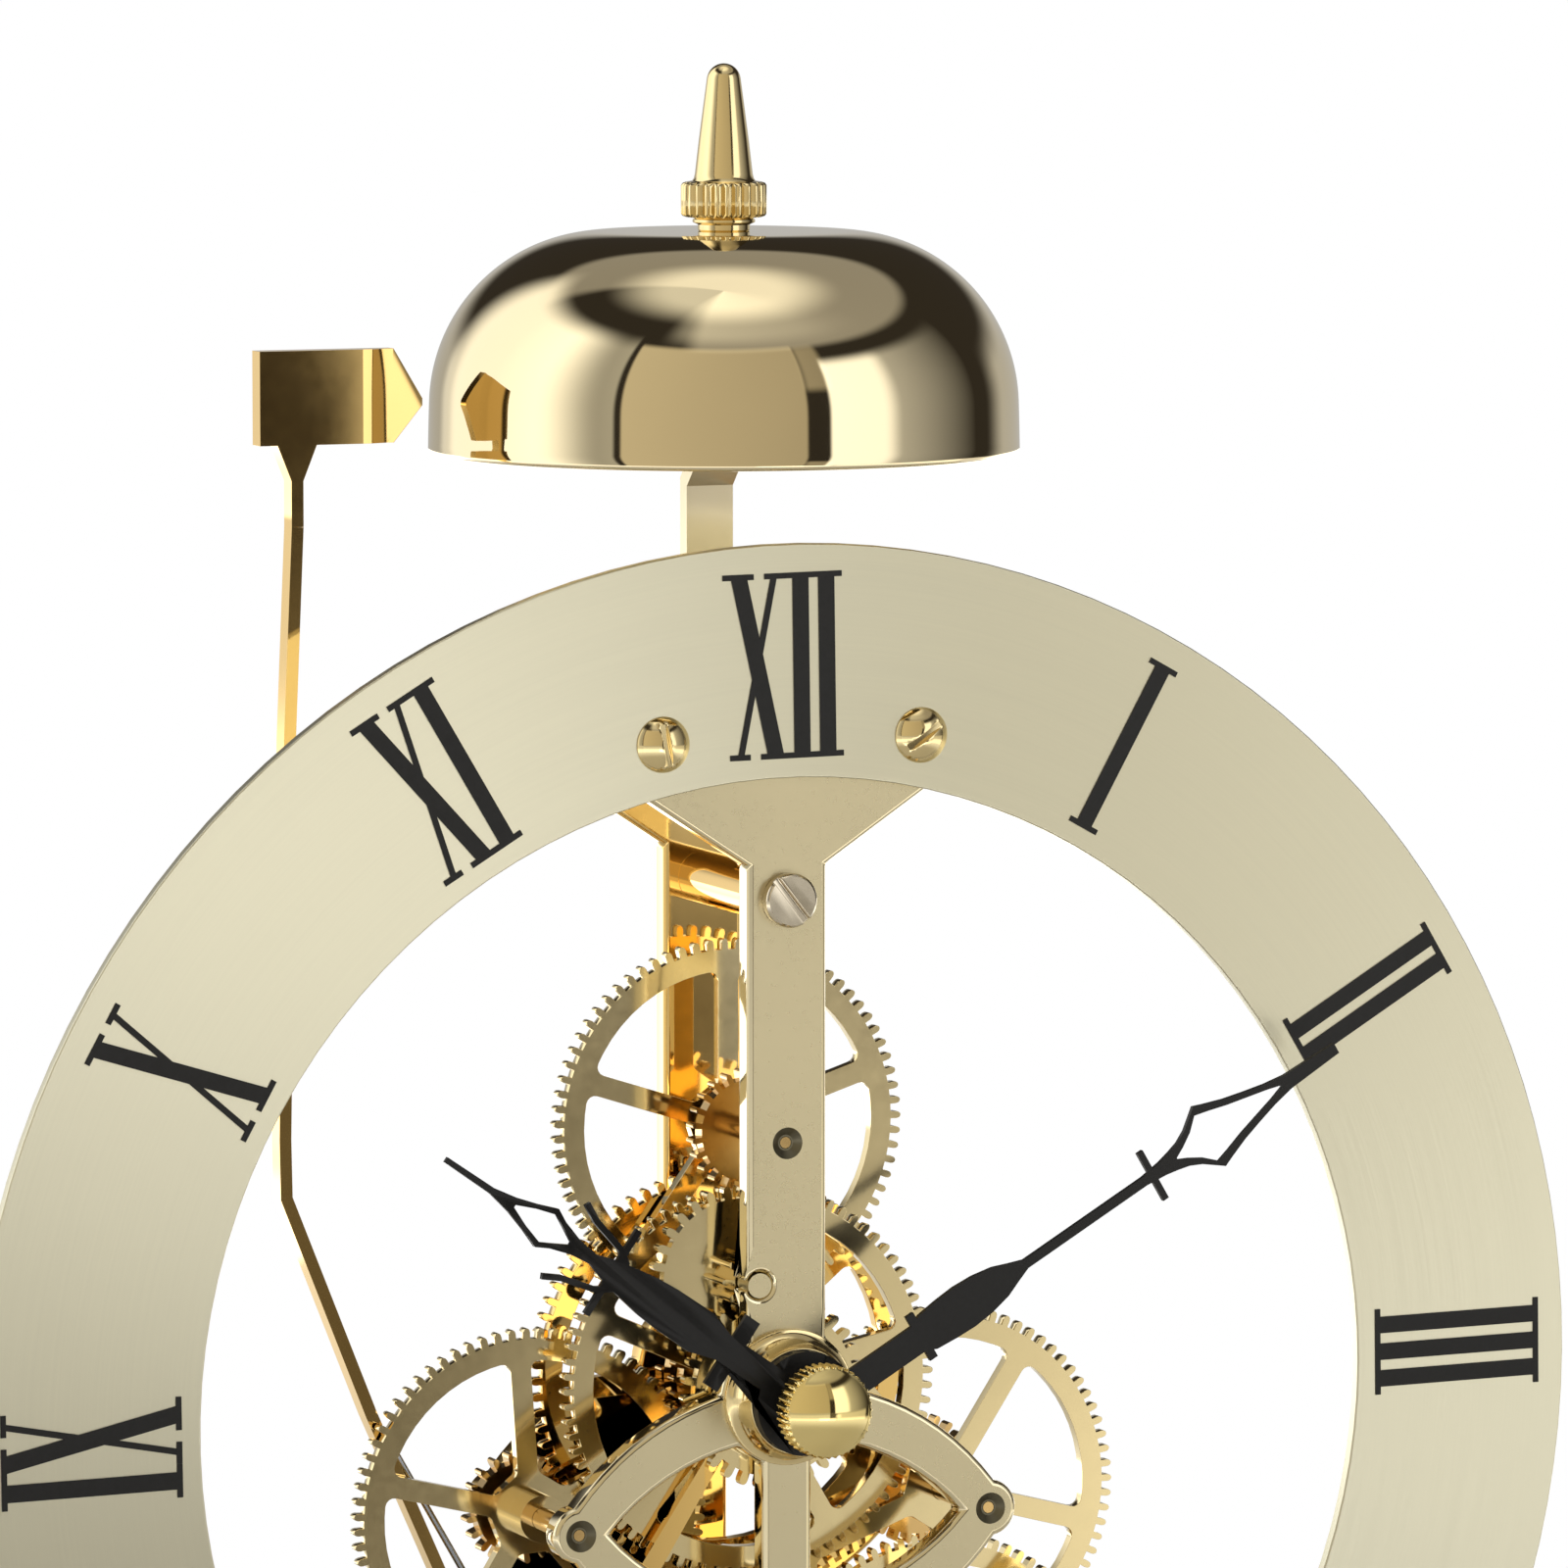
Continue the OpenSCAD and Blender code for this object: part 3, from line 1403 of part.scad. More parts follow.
module bell_finial()
{
    ribs = 24;
    z0 = bell_top_z;
    z1 = z0 + finial_neck_l;
    z2 = z1 + finial_collar_l;
    z3 = z2 + 0.7;
    color("#d6b45a") at(hub_at) translate([0, bell_y, 0]) difference() {
        union() {
            translate([0, 0, z0]) cylinder(h = finial_neck_l + 0.01, r = 3.07);
            translate([0, 0, z1]) cylinder(h = finial_collar_l, r = 3.8);
            translate([0, 0, z1 + 0.2]) linear_extrude(finial_collar_l - 0.4)
                for (i = [0:ribs - 1]) {
                    rotate(i * 360 / ribs) translate([3.6, -0.28]) square([0.45, 0.56]);
                }
            translate([0, 0, z2]) cylinder(h = 0.71, r1 = 3.6, r2 = 2.85);
            translate([0, 0, z3]) cylinder(h = finial_taper_l - 0.7, r1 = 2.85, r2 = 1.5);
            translate([0, 0, z2 + finial_taper_l]) sphere(r = 1.5);
        }
        translate([0, 0, z0 - 1]) cylinder(h = finial_thread_l + 1.3, r = bell_stud_r + seat_fit);
    }
}

// The hammer hangs over its arbor with its tip just short of the bell's skirt
hammer_y = front_in + HAMMER_LAYER;
hammer_tip_z = bell_rim_z + 5.1;
hammer_taper = 2.65;
hammer_tip_x = -bell_r - hammer_gap;
hammer_neck = [hammer_tip_x - hammer_taper - 9.1, hammer_tip_z - hammer_head_h / 2 - 6.5];
hammer_arm = [
    hammer_neck, [hammer_neck[0] - 0.8, 58], [hammer_neck[0] - 1.4, 23],
    [hammer_neck[0] - 1.3, 17.8], [-33.7, -1.7], [-27.3, -16], hammer_at,
];
hammer_collet_r = 2.6;
hammer_arbor_r = 1.4;

module hammer()
{
    x1 = hammer_tip_x - hammer_taper;
    x0 = x1 - hammer_head_l;
    mid_z = hammer_tip_z + 0.6;
    half_arm = hammer_arm_w / 2;
    head_z = mid_z - hammer_head_h / 2;
    color("#d6a93c") at(hub_at) difference() {
        union() {
            slab(hammer_y, hammer_t) {
                polygon([
                    [x0, mid_z - hammer_head_h / 2], [x1, mid_z - hammer_head_h / 2],
                    [hammer_tip_x, hammer_tip_z - 0.3], [hammer_tip_x, hammer_tip_z + 0.3],
                    [x1, mid_z + hammer_head_h / 2], [x0, mid_z + hammer_head_h / 2],
                ]);
                polygon([
                    [hammer_neck[0] - 1.8, head_z + 1],
                    [hammer_neck[0] - 1.8, head_z],
                    [hammer_neck[0] - half_arm, hammer_neck[1] + 4],
                    [hammer_neck[0] - half_arm, hammer_neck[1]],
                    [hammer_neck[0] + half_arm, hammer_neck[1]],
                    [hammer_neck[0] + half_arm, hammer_neck[1] + 4],
                    [hammer_neck[0] + 1.8, head_z],
                    [hammer_neck[0] + 1.8, head_z + 1],
                ]);
                translate(hammer_at) circle(hammer_collet_r);
            }
            strip(hammer_y, hammer_t, hammer_arm, hammer_arm_w);
        }
        translate([hammer_at[0], 0, hammer_at[1]])
            rod(hammer_y - 1, hammer_y + hammer_t + 1, hammer_arbor_r + seat_fit);
    }
}

module hammer_arbor()
{
    color("#8c8c88") at(hammer_at) plate_arbor(hammer_arbor_r, hammer_pivot_r);
}

// The lifting tail reaches from the hammer arbor to just outside the strike cam
tail_gap = 0.4;

module lifting_tail()
{
    reach = norm(hammer_at) - cam_r - tail_gap;
    color("#d6b45a") at(hammer_at) difference() {
        union() {
            slab(front_in + CAM_LAYER, 1) rotate(direction(hammer_at, hub_at) - 90) {
                polygon([[-1.3, 0], [-0.7, reach - 3], [-0.7, reach - 0.6], [0, reach],
                    [1.1, reach - 0.4], [0.7, reach - 3], [1.3, 0]]);
            }
            rod(front_in + CAM_LAYER - 0.6, front_in + CAM_LAYER + 1.6, hammer_collet_r);
        }
        rod(front_in, rear_in, hammer_arbor_r + seat_fit);
    }
}

// A straight wire from its post on the rear plate to the inner side of the hammer's arm
spring_post_at = barrel_at + polar(great_d - 1.7, 139.5);
spring_wire_r = 0.3;
spring_top_at = [-31, -5.6];

module hammer_spring()
{
    y = hammer_y + hammer_t / 2;
    run = spring_top_at - spring_post_at;
    color("#c9a63a") at(spring_post_at) {
        rod(y - 1, rear_out - 0.5, spring_post_r);
        translate([0, y, 0]) rotate([0, atan2(run[0], run[1]), 0])
            cylinder(h = norm(run), r = spring_wire_r);
    }
}

front_plate();
rear_plate();
pillars();
pillar_screws();
feet();
foot_screws();
dial_ring();
numerals();
dial_screws();
centre_boss();
centre_arbor();
centre_wheel();
strike_cam();
cannon_pinion();
minute_hand();
hand_nut();
hour_wheel();
hour_hand();
minute_wheel();
minute_wheel_post();
first_arbor();
first_wheel();
second_arbor();
second_wheel();
third_arbor();
third_wheel();
pipe_pinion();
pipe_wheel();
fourth_arbor();
fourth_wheel();
escape_arbor();
escape_wheel();
anchor();
anchor_arbor();
back_cock();
cock_screws();
suspension_bracket();
suspension_pin();
pendulum_rod();
pendulum_bob();
rating_nut();
barrel();
barrel_cover();
mainspring();
winding_arbor();
ratchet_wheel();
click();
click_screw();
click_spring();
bell();
bell_post();
bell_post_screws();
bell_finial();
hammer();
hammer_arbor();
lifting_tail();
hammer_spring();
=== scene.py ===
import json
import math

import bmesh
import bpy
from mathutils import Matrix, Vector


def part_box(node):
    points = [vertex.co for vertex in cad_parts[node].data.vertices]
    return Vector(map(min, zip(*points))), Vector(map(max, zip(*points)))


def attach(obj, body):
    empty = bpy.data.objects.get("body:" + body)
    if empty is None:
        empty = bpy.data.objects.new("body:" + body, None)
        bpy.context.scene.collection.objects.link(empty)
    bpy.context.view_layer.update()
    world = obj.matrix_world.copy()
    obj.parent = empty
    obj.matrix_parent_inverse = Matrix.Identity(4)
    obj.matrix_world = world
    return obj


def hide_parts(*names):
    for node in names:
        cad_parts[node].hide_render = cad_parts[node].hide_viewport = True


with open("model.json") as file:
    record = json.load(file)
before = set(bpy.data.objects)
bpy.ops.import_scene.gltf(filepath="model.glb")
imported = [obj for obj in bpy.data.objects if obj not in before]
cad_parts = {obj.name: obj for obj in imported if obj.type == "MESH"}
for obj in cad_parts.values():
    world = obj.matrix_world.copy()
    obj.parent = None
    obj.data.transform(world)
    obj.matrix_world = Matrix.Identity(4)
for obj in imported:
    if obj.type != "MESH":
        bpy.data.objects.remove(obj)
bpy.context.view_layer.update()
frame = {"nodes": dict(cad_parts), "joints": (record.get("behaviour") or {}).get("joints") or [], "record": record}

MM = 0.001
UP = Vector((0, 0, 1))
FORWARD = Vector((0, -1, 0))
# Allowance for rounding in the CAD mesh, in millimetres
ROUNDING = 0.001
# Two points closer than this are taken as one place
TOUCH = 0.01 * MM
# Faces that meet at less than this are shaded as one curve
SMOOTH_ANGLE = math.radians(35)
# Edges sharper than this get rounded
OUTLINE_ANGLE = math.radians(40)
# Faces that meet at less than this are one flat face
FLAT_ANGLE = math.radians(0.6)
# A face whose normal has more than this along Y is a front or back face
FRONT_OR_BACK = 0.98
# Radius of the oil sinks round the pivots in the front plate, inside which the plate is painted dark as shade
SINK_SHADE_R = 1.45 * MM
# Holes and screws under this size in millimetres keep sharp edges in plates and ring
SMALL_HOLE = 14

# The hub is where the hands turn, and the plates stand upright in the XZ plane
JOINT_AT = {j["name"]: Vector(j["pos_m"]) for j in frame["joints"] if "pos_m" in j}
HUB = JOINT_AT["centre_spin"]
PIVOTS = [JOINT_AT[n] for n in ("first_spin", "second_spin", "third_spin", "fourth_spin",
                                "escape_spin", "hammer_swing")]

node_body = {n: b for b, ns in frame["record"]["behaviour"]["bodies"].items() for n in ns}
node_slot = {p["node"]: p["material_slot"] for p in frame["record"]["subparts"]}


# Shader helpers

# Most values of a noise lie between these two
NOISE_LOW, NOISE_HIGH = 0.3, 0.7


def new_material(name):
    material = bpy.data.materials.new(name)
    material.use_nodes = True
    return material, material.node_tree, material.node_tree.nodes["Principled BSDF"]


def add(tree, kind, **settings):
    node = tree.nodes.new(kind)
    for key, value in settings.items():
        setattr(node, key, value)
    return node


def math_node(tree, operation, a, b=None):
    node = add(tree, "ShaderNodeMath", operation=operation)
    for socket, value in zip(node.inputs, (a, b)):
        if value is None:
            continue
        if isinstance(value, (int, float)):
            socket.default_value = value
        else:
            tree.links.new(value, socket)
    return node.outputs[0]


def map_range(tree, value, a, b, c, d, smooth=False):
    node = add(tree, "ShaderNodeMapRange")
    node.interpolation_type = "SMOOTHSTEP" if smooth else "LINEAR"
    node.clamp = True
    tree.links.new(value, node.inputs["Value"])
    for name, number in (("From Min", a), ("From Max", b), ("To Min", c), ("To Max", d)):
        node.inputs[name].default_value = number
    return node.outputs["Result"]


def noise(tree, coords, scale, detail=4.0, roughness=0.5, stretch=(1, 1, 1)):
    mapping = add(tree, "ShaderNodeMapping")
    mapping.inputs["Scale"].default_value = stretch
    tree.links.new(coords, mapping.inputs["Vector"])
    node = add(tree, "ShaderNodeTexNoise")
    node.inputs["Scale"].default_value = scale
    node.inputs["Detail"].default_value = detail
    node.inputs["Roughness"].default_value = roughness
    tree.links.new(mapping.outputs["Vector"], node.inputs["Vector"])
    return node.outputs["Fac"]


def object_coords(tree):
    return add(tree, "ShaderNodeTexCoord").outputs["Object"]


def colour_between(tree, factor, dark, light):
    ramp = add(tree, "ShaderNodeValToRGB")
    ramp.color_ramp.elements[0].color = (*dark, 1)
    ramp.color_ramp.elements[1].color = (*light, 1)
    ramp.color_ramp.elements[0].position = NOISE_LOW
    ramp.color_ramp.elements[1].position = NOISE_HIGH
    tree.links.new(factor, ramp.inputs["Fac"])
    return ramp.outputs["Color"]


def gloss_between(tree, shader, factor, low, high):
    """Roughness that follows the factor from low to high."""
    tree.links.new(map_range(tree, factor, NOISE_LOW, NOISE_HIGH, low, high),
                   shader.inputs["Roughness"])


def bump(tree, shader, height, distance, strength):
    node = add(tree, "ShaderNodeBump")
    node.inputs["Distance"].default_value = distance
    node.inputs["Strength"].default_value = strength
    tree.links.new(height, node.inputs["Height"])
    tree.links.new(node.outputs["Normal"], shader.inputs["Normal"])


def shade(colour, k):
    return tuple(min(1.0, c * k) for c in colour)


# Scale of the slow variation that every plain metal has
CLOUD_SCALE = 60


def metal(name, colour, roughness, spread, grain):
    """A metal with slow colour and gloss variation, and a fine grain. spread is the share
    that the colour varies by, and grain is the scale of the grain."""
    material, tree, shader = new_material(name)
    coords = object_coords(tree)
    clouds = noise(tree, coords, CLOUD_SCALE, 3)
    shader.inputs["Metallic"].default_value = 1.0
    tree.links.new(
        colour_between(tree, clouds, shade(colour, 1 - spread), shade(colour, 1 + spread)),
        shader.inputs["Base Color"])
    fine = noise(tree, coords, grain, 5, 0.6)
    gloss = math_node(tree, "ADD", math_node(tree, "MULTIPLY", clouds, 0.4),
                      math_node(tree, "MULTIPLY", fine, 0.6))
    gloss_between(tree, shader, gloss, roughness * 0.8, roughness * 1.2)
    return material


# Radius near the dial ring's middle, which turns an angle into a length along the ring
RING_MIDDLE = 60 * MM


def brushed_round(name, colour, roughness):
    """The dial ring's finish: fine circular brush lines round the hub, made from noise over
    radius and angle that is stretched along the angle."""
    material, tree, shader = new_material(name)
    coords = object_coords(tree)
    centred = add(tree, "ShaderNodeVectorMath", operation="SUBTRACT")
    tree.links.new(coords, centred.inputs[0])
    centred.inputs[1].default_value = HUB
    split = add(tree, "ShaderNodeSeparateXYZ")
    tree.links.new(centred.outputs[0], split.inputs[0])
    x, z = split.outputs["X"], split.outputs["Z"]
    radius = math_node(tree, "SQRT", math_node(
        tree, "ADD", math_node(tree, "MULTIPLY", x, x), math_node(tree, "MULTIPLY", z, z)))
    angle = math_node(tree, "ARCTAN2", x, z)
    polar = add(tree, "ShaderNodeCombineXYZ")
    tree.links.new(radius, polar.inputs["X"])
    tree.links.new(math_node(tree, "MULTIPLY", angle, RING_MIDDLE), polar.inputs["Y"])
    lines = noise(tree, polar.outputs[0], 1500, 3, 0.7, stretch=(2.2, 0.02, 1))
    clouds = noise(tree, coords, 25, 2)
    shader.inputs["Metallic"].default_value = 1.0
    shader.inputs["Anisotropic"].default_value = 0.75
    across = add(tree, "ShaderNodeCombineXYZ")
    tree.links.new(z, across.inputs["X"])
    tree.links.new(math_node(tree, "MULTIPLY", x, -1.0), across.inputs["Z"])
    tree.links.new(across.outputs[0], shader.inputs["Tangent"])
    mixed = math_node(tree, "ADD", math_node(tree, "MULTIPLY", lines, 0.5),
                      math_node(tree, "MULTIPLY", clouds, 0.5))
    tree.links.new(colour_between(tree, mixed, shade(colour, 0.97), shade(colour, 1.03)),
                   shader.inputs["Base Color"])
    gloss_between(tree, shader, lines, roughness * 0.9, roughness * 1.1)
    bump(tree, shader, lines, distance=0.012 * MM, strength=0.35)
    return material


def enamel(name, colour, roughness):
    material, tree, shader = new_material(name)
    coords = object_coords(tree)
    fine = noise(tree, coords, 1400, 4, 0.6)
    tree.links.new(colour_between(tree, fine, shade(colour, 0.8), shade(colour, 1.25)),
                   shader.inputs["Base Color"])
    gloss_between(tree, shader, fine, roughness * 0.85, roughness * 1.15)
    shader.inputs["Specular IOR Level"].default_value = 0.3
    bump(tree, shader, fine, distance=0.01 * MM, strength=0.2)
    return material


# Colour, roughness, spread and grain of each plain metal
METALS = {
    "satin_brass": ((0.62, 0.545, 0.355), 0.3, 0.03, 1500),
    # The oil sinks' brass, near-black: painted shade and dark reflection in those hollows
    "edge_brass": ((0.84, 0.74, 0.50), 0.07, 0.04, 700),
    "sink_shade_brass": ((0.16, 0.145, 0.10), 0.35, 0.1, 1500),
    "wheel_brass": ((0.86, 0.72, 0.42), 0.1, 0.05, 900),
    "pinion_brass": ((0.80, 0.55, 0.24), 0.12, 0.06, 900),
    "polished_brass": ((0.93, 0.64, 0.24), 0.05, 0.04, 700),
    "finial_brass": ((0.86, 0.70, 0.38), 0.1, 0.03, 700),
    "nut_brass": ((0.94, 0.76, 0.34), 0.07, 0.03, 700),
    "post_brass": ((0.68, 0.59, 0.41), 0.2, 0.05, 900),
    "bell_bronze": ((0.80, 0.69, 0.46), 0.035, 0.02, 400),
    "bright_steel": ((0.40, 0.38, 0.33), 0.2, 0.06, 1200),
    "nickel_screws": ((0.74, 0.66, 0.52), 0.12, 0.04, 900),
    "spring_steel": ((0.36, 0.38, 0.42), 0.22, 0.1, 900),
}
MATERIALS = {name: metal(name, *look) for name, look in METALS.items()}
MATERIALS["dial_brass"] = brushed_round("dial_brass", (0.73, 0.70, 0.545), 0.34)
MATERIALS["black_enamel"] = enamel("black_enamel", (0.009, 0.009, 0.010), 0.4)


# Mesh helpers

def mesh_object(name, bm):
    mesh = bpy.data.meshes.new(name)
    bm.to_mesh(mesh)
    bm.free()
    obj = bpy.data.objects.new(name, mesh)
    bpy.context.scene.collection.objects.link(obj)
    return obj


def finish_piece(obj, node, material):
    obj.data.materials.clear()
    obj.data.materials.append(MATERIALS[material])
    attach(obj, node_body[node])
    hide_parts(node)


def outline_edges(bm, smallest):
    """Edges between a flat face and a side face, left out where they ring a hole under the
    smallest size in millimetres."""
    picked = []
    for edge in bm.edges:
        if len(edge.link_faces) == 2 and edge.calc_face_angle(0) > OUTLINE_ANGLE:
            picked.append(edge)
    chains = []
    waiting = set(picked)
    while waiting:
        chain = [waiting.pop()]
        for edge in chain:
            for vert in edge.verts:
                for other in vert.link_edges:
                    if other in waiting:
                        waiting.remove(other)
                        chain.append(other)
        points = [v.co for e in chain for v in e.verts]
        size = max(max(p[i] for p in points) - min(p[i] for p in points) for i in range(3))
        if size > smallest * MM:
            chains += chain
    return chains


# The hammer's head is above this height over the hub
HEAD_FROM = 70 * MM
# Millimetres from the head's tip, and how deep its front face lies there
HEAD_STEPS = [(-5.7, 0), (-4.6, 0.12), (-3.3, 0.6), (0, 0.6)]
# The corners of the pointed end lie within this length of the tip
HEAD_TIP = 4 * MM


def step_head(bm):
    """Gives the hammer's head its chamfer and groove, and sets its pointed end lower."""
    head = [v.co for v in bm.verts if v.co.z > HUB.z + HEAD_FROM]
    front = min(co.y for co in head)
    deepest = front + (HEAD_STEPS[-1][1] + 0.1) * MM
    tip = max(co.x for co in head)
    bottom = min(co.z for co in head if co.x > tip - HEAD_TIP) - TOUCH
    for x, _ in HEAD_STEPS[:-1]:
        bmesh.ops.bisect_plane(bm, geom=bm.verts[:] + bm.edges[:] + bm.faces[:],
                               plane_co=(tip + x * MM, 0, 0), plane_no=(1, 0, 0))
    for vert in bm.verts:
        if vert.co.z < bottom or vert.co.y > front + TOUCH:
            continue
        x = (vert.co.x - tip) / MM
        for (x0, depth0), (x1, depth1) in zip(HEAD_STEPS, HEAD_STEPS[1:]):
            if x0 <= x <= x1 + ROUNDING:
                vert.co.y += (depth0 + (depth1 - depth0) * (x - x0) / (x1 - x0)) * MM
                break
    for edge in bm.edges:
        a, b = edge.verts
        on_head = min(a.co.z, b.co.z) > bottom
        across = abs(a.co.x - b.co.x) < TOUCH
        near_front = max(a.co.y, b.co.y) < deepest
        if on_head and across and near_front:
            edge.smooth = False


def edged(node, width, material, segments=2, smallest=0, flat=None, shaded_sink=None, shape=None):
    """The CAD piece with its sharp edges rounded to that width in millimetres. Its flat front
    and back take the flat material, and the oil sinks in front round a pivot take the sink material, which paints
    them dark as shade.
    shape changes the mesh first."""
    bm = bmesh.new()
    bm.from_mesh(frame["nodes"][node].data)
    bmesh.ops.remove_doubles(bm, verts=bm.verts, dist=ROUNDING * MM)
    bmesh.ops.dissolve_limit(bm, angle_limit=FLAT_ANGLE, verts=bm.verts, edges=bm.edges)
    if shape:
        shape(bm)
    weight = bm.edges.layers.float.new("bevel_weight_edge")
    for edge in bm.edges:
        edge.smooth = edge.smooth and edge.calc_face_angle(0) < SMOOTH_ANGLE
    for edge in outline_edges(bm, smallest):
        edge[weight] = 1
        edge.smooth = True
    for face in bm.faces:
        face.smooth = True
    obj = mesh_object(node + "_edged", bm)
    bevel = obj.modifiers.new("edges", "BEVEL")
    bevel.width = width * MM
    bevel.segments = segments
    bevel.limit_method = "WEIGHT"
    bevel.use_clamp_overlap = not smallest
    bevel.material = 0
    normals = obj.modifiers.new("normals", "WEIGHTED_NORMAL")
    normals.keep_sharp = True
    normals.weight = 100
    finish_piece(obj, node, material)
    if flat:
        # Material slots: 0 for edges, 1 for flat faces, 2 for the oil sinks, painted dark as shade
        obj.data.materials.append(MATERIALS[flat])
        obj.data.materials.append(MATERIALS[shaded_sink])
        # Faces of the oil sinks in front round each pivot get the painted shade
        for face in obj.data.polygons:
            gap = min(math.hypot(face.center.x - p.x, face.center.z - p.z) for p in PIVOTS)
            if gap < SINK_SHADE_R and face.center.y < HUB.y:
                face.material_index = 2
            elif abs(face.normal.y) > FRONT_OR_BACK:
                face.material_index = 1


def basis(axis):
    """Two directions square to the axis."""
    side = Vector((1, 0, 0)).cross(axis)
    if side.length < 0.1:
        side = Vector((0, 1, 0)).cross(axis)
    side.normalize()
    return side, axis.cross(side)


def arc(centre, radius, start, end, steps):
    """Points of an arc in a profile's (radius, height) plane, angles in degrees."""
    points = []
    for i in range(steps + 1):
        a = math.radians(start + (end - start) * i / steps)
        points.append((centre[0] + radius * math.cos(a), centre[1] + radius * math.sin(a)))
    return points


def lathe(node, material, profile, foot, axis, segments, ripple=None, closed=False):
    """Turns a profile of (radius, height) millimetres round the axis from the foot point.
    ripple(radius, height, angle) adds to the radius, and a closed profile is a shell with a
    hole."""
    side, across = basis(axis)
    bm = bmesh.new()
    rings = []
    for radius, height in profile:
        centre = foot + axis * height * MM
        if radius == 0:
            rings.append([bm.verts.new(centre)])
            continue
        ring = []
        for i in range(segments):
            a = 2 * math.pi * i / segments
            r = (radius + (ripple(radius, height, a) if ripple else 0)) * MM
            ring.append(bm.verts.new(centre + (side * math.cos(a) + across * math.sin(a)) * r))
        rings.append(ring)
    pairs = list(zip(rings, rings[1:]))
    if closed:
        pairs.append((rings[-1], rings[0]))
    for low, high in pairs:
        for i in range(segments):
            j = (i + 1) % segments
            corners = [low[i % len(low)], low[j % len(low)]]
            corners += [high[j % len(high)], high[i % len(high)]]
            bm.faces.new(list(dict.fromkeys(corners)))
    bmesh.ops.recalc_face_normals(bm, faces=bm.faces)
    obj = mesh_object(node + "_turned", bm)
    obj.data.shade_smooth()
    obj.data.set_sharp_from_angle(angle=SMOOTH_ANGLE)
    finish_piece(obj, node, material)


def knurl(ribs, depth, low, high, inner):
    """Rounded ribs along the axis between two heights, on radii past inner (millimetres)."""
    def ripple(radius, height, angle):
        if radius < inner or not low < height < high:
            return 0
        return depth * (abs(math.cos(ribs * angle / 2)) - 1)
    return ripple


# The bell that shows is lower than the CAD bell by this much at its crown, in millimetres
CROWN_DROP = 0.8


def make_bell():
    low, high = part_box("bell")
    radius = (high.x - low.x) / 2 / MM
    height = (high.z - low.z) / MM - CROWN_DROP
    wall, skirt, lip, hole = 1.2, 4.6, 0.45, 1.45
    # The skirt leans in a little and ever more, and the shoulder goes on from its lean
    even, growing = 0.06, 0.05
    lean = [(even * t + growing * t * t, skirt * t) for t in (0.1, 0.3, 0.5, 0.7, 0.9, 1.0)]
    start = math.degrees(math.atan((even + 2 * growing) / skirt))
    shoulder = (height - skirt) / (1 - math.sin(math.radians(start)))
    spring = height - shoulder
    flat = radius - even - growing - shoulder * math.cos(math.radians(start))
    profile = arc((radius - lip, lip), lip, -90, 0, 5)
    profile += [(radius - inset, z) for inset, z in lean if z > lip]
    profile += arc((flat, spring), shoulder, start, 90, 40)[1:]
    # One more ring on the flat crown, outside and inside
    inner = flat * 0.6
    profile += [(inner, height), (hole, height), (hole, height - wall), (inner, height - wall)]
    profile += arc((flat, spring), shoulder - wall, 90, start, 30)
    profile += arc((radius - wall + lip, lip), lip, 180, 270, 5)
    foot = Vector(((low.x + high.x) / 2, (low.y + high.y) / 2, low.z))
    lathe("bell", "bell_bronze", profile, foot, UP, segments=192, closed=True)


def make_finial():
    low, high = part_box("bell_finial")
    height = (high.z - low.z) / MM
    collar, collar_low, collar_high = 3.8, 0.4, 3.5
    tip, cone = 1.5, 2.55
    ribs = 24
    profile = [(1.42, -CROWN_DROP), (2.2, -CROWN_DROP), (2.3, -0.7), (2.3, -0.25), (2.5, -0.15)]
    profile += [(2.74, -0.05), (2.77, 0.05), (2.74, 0.2), (2.6, 0.3), (2.8, 0.4)]
    profile += [(3.35, 0.42), (3.65, 0.52), (collar, 0.72), (collar, 3.2), (3.65, 3.4)]
    profile += [(3.35, collar_high), (2.8, 3.6), (2.65, 3.8), (cone, 4.2), (2.2, 7.2)]
    profile += [(1.86, 9.8)]
    profile += arc((0, height - tip), tip, 8, 84, 10) + [(0, height)]
    profile = [(0, 0.5), (1.42, 0.5)] + profile
    foot = Vector(((low.x + high.x) / 2, (low.y + high.y) / 2, low.z))
    ripple = knurl(ribs, depth=0.36, low=collar_low, high=collar_high, inner=3.5)
    lathe("bell_finial", "finial_brass", profile, foot, UP, segments=ribs * 8, ripple=ripple)


def make_hand_nut():
    low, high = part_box("hand_nut")
    radius = (high.x - low.x) / 2 / MM
    depth = (high.y - low.y) / MM
    barrel_l = 2.62
    flat = 3.75
    ribs = 40
    dome = depth - barrel_l
    sphere = (flat * flat + dome * dome) / (2 * dome)
    edge = math.degrees(math.asin(flat / sphere))
    profile = [(1.05, 0), (radius - 0.25, 0), (radius, 0.2), (radius, 2.3)]
    profile += [(radius - 0.1, 2.46), (radius - 0.24, 2.56)]
    profile += arc((0, depth - sphere), sphere, 90 - edge, 89, 20) + [(0, depth)]
    foot = Vector((HUB.x, high.y, HUB.z))
    ripple = knurl(ribs, depth=0.32, low=0.1, high=2.5, inner=radius - 0.15)
    lathe("hand_nut", "nut_brass", profile, foot, FORWARD, segments=ribs * 6, ripple=ripple)


# Each node takes the material named like its slot, apart from these
node_look = dict(node_slot)
for node in ["first_wheel", "second_wheel", "third_wheel", "fourth_wheel", "centre_wheel",
             "hour_wheel", "minute_wheel"]:
    node_look[node] = "wheel_brass"
for node in ["bell_finial", "dial_screws", "centre_boss"]:
    node_look[node] = "finial_brass"
for node in ["centre_arbor", "first_arbor", "second_arbor", "third_arbor", "fourth_arbor",
             "pipe_pinion", "cannon_pinion"]:
    node_look[node] = "pinion_brass"
node_look["minute_wheel_post"] = "satin_brass"

for node in frame["nodes"]:
    frame["nodes"][node].data.materials.clear()
    frame["nodes"][node].data.materials.append(MATERIALS[node_look[node]])

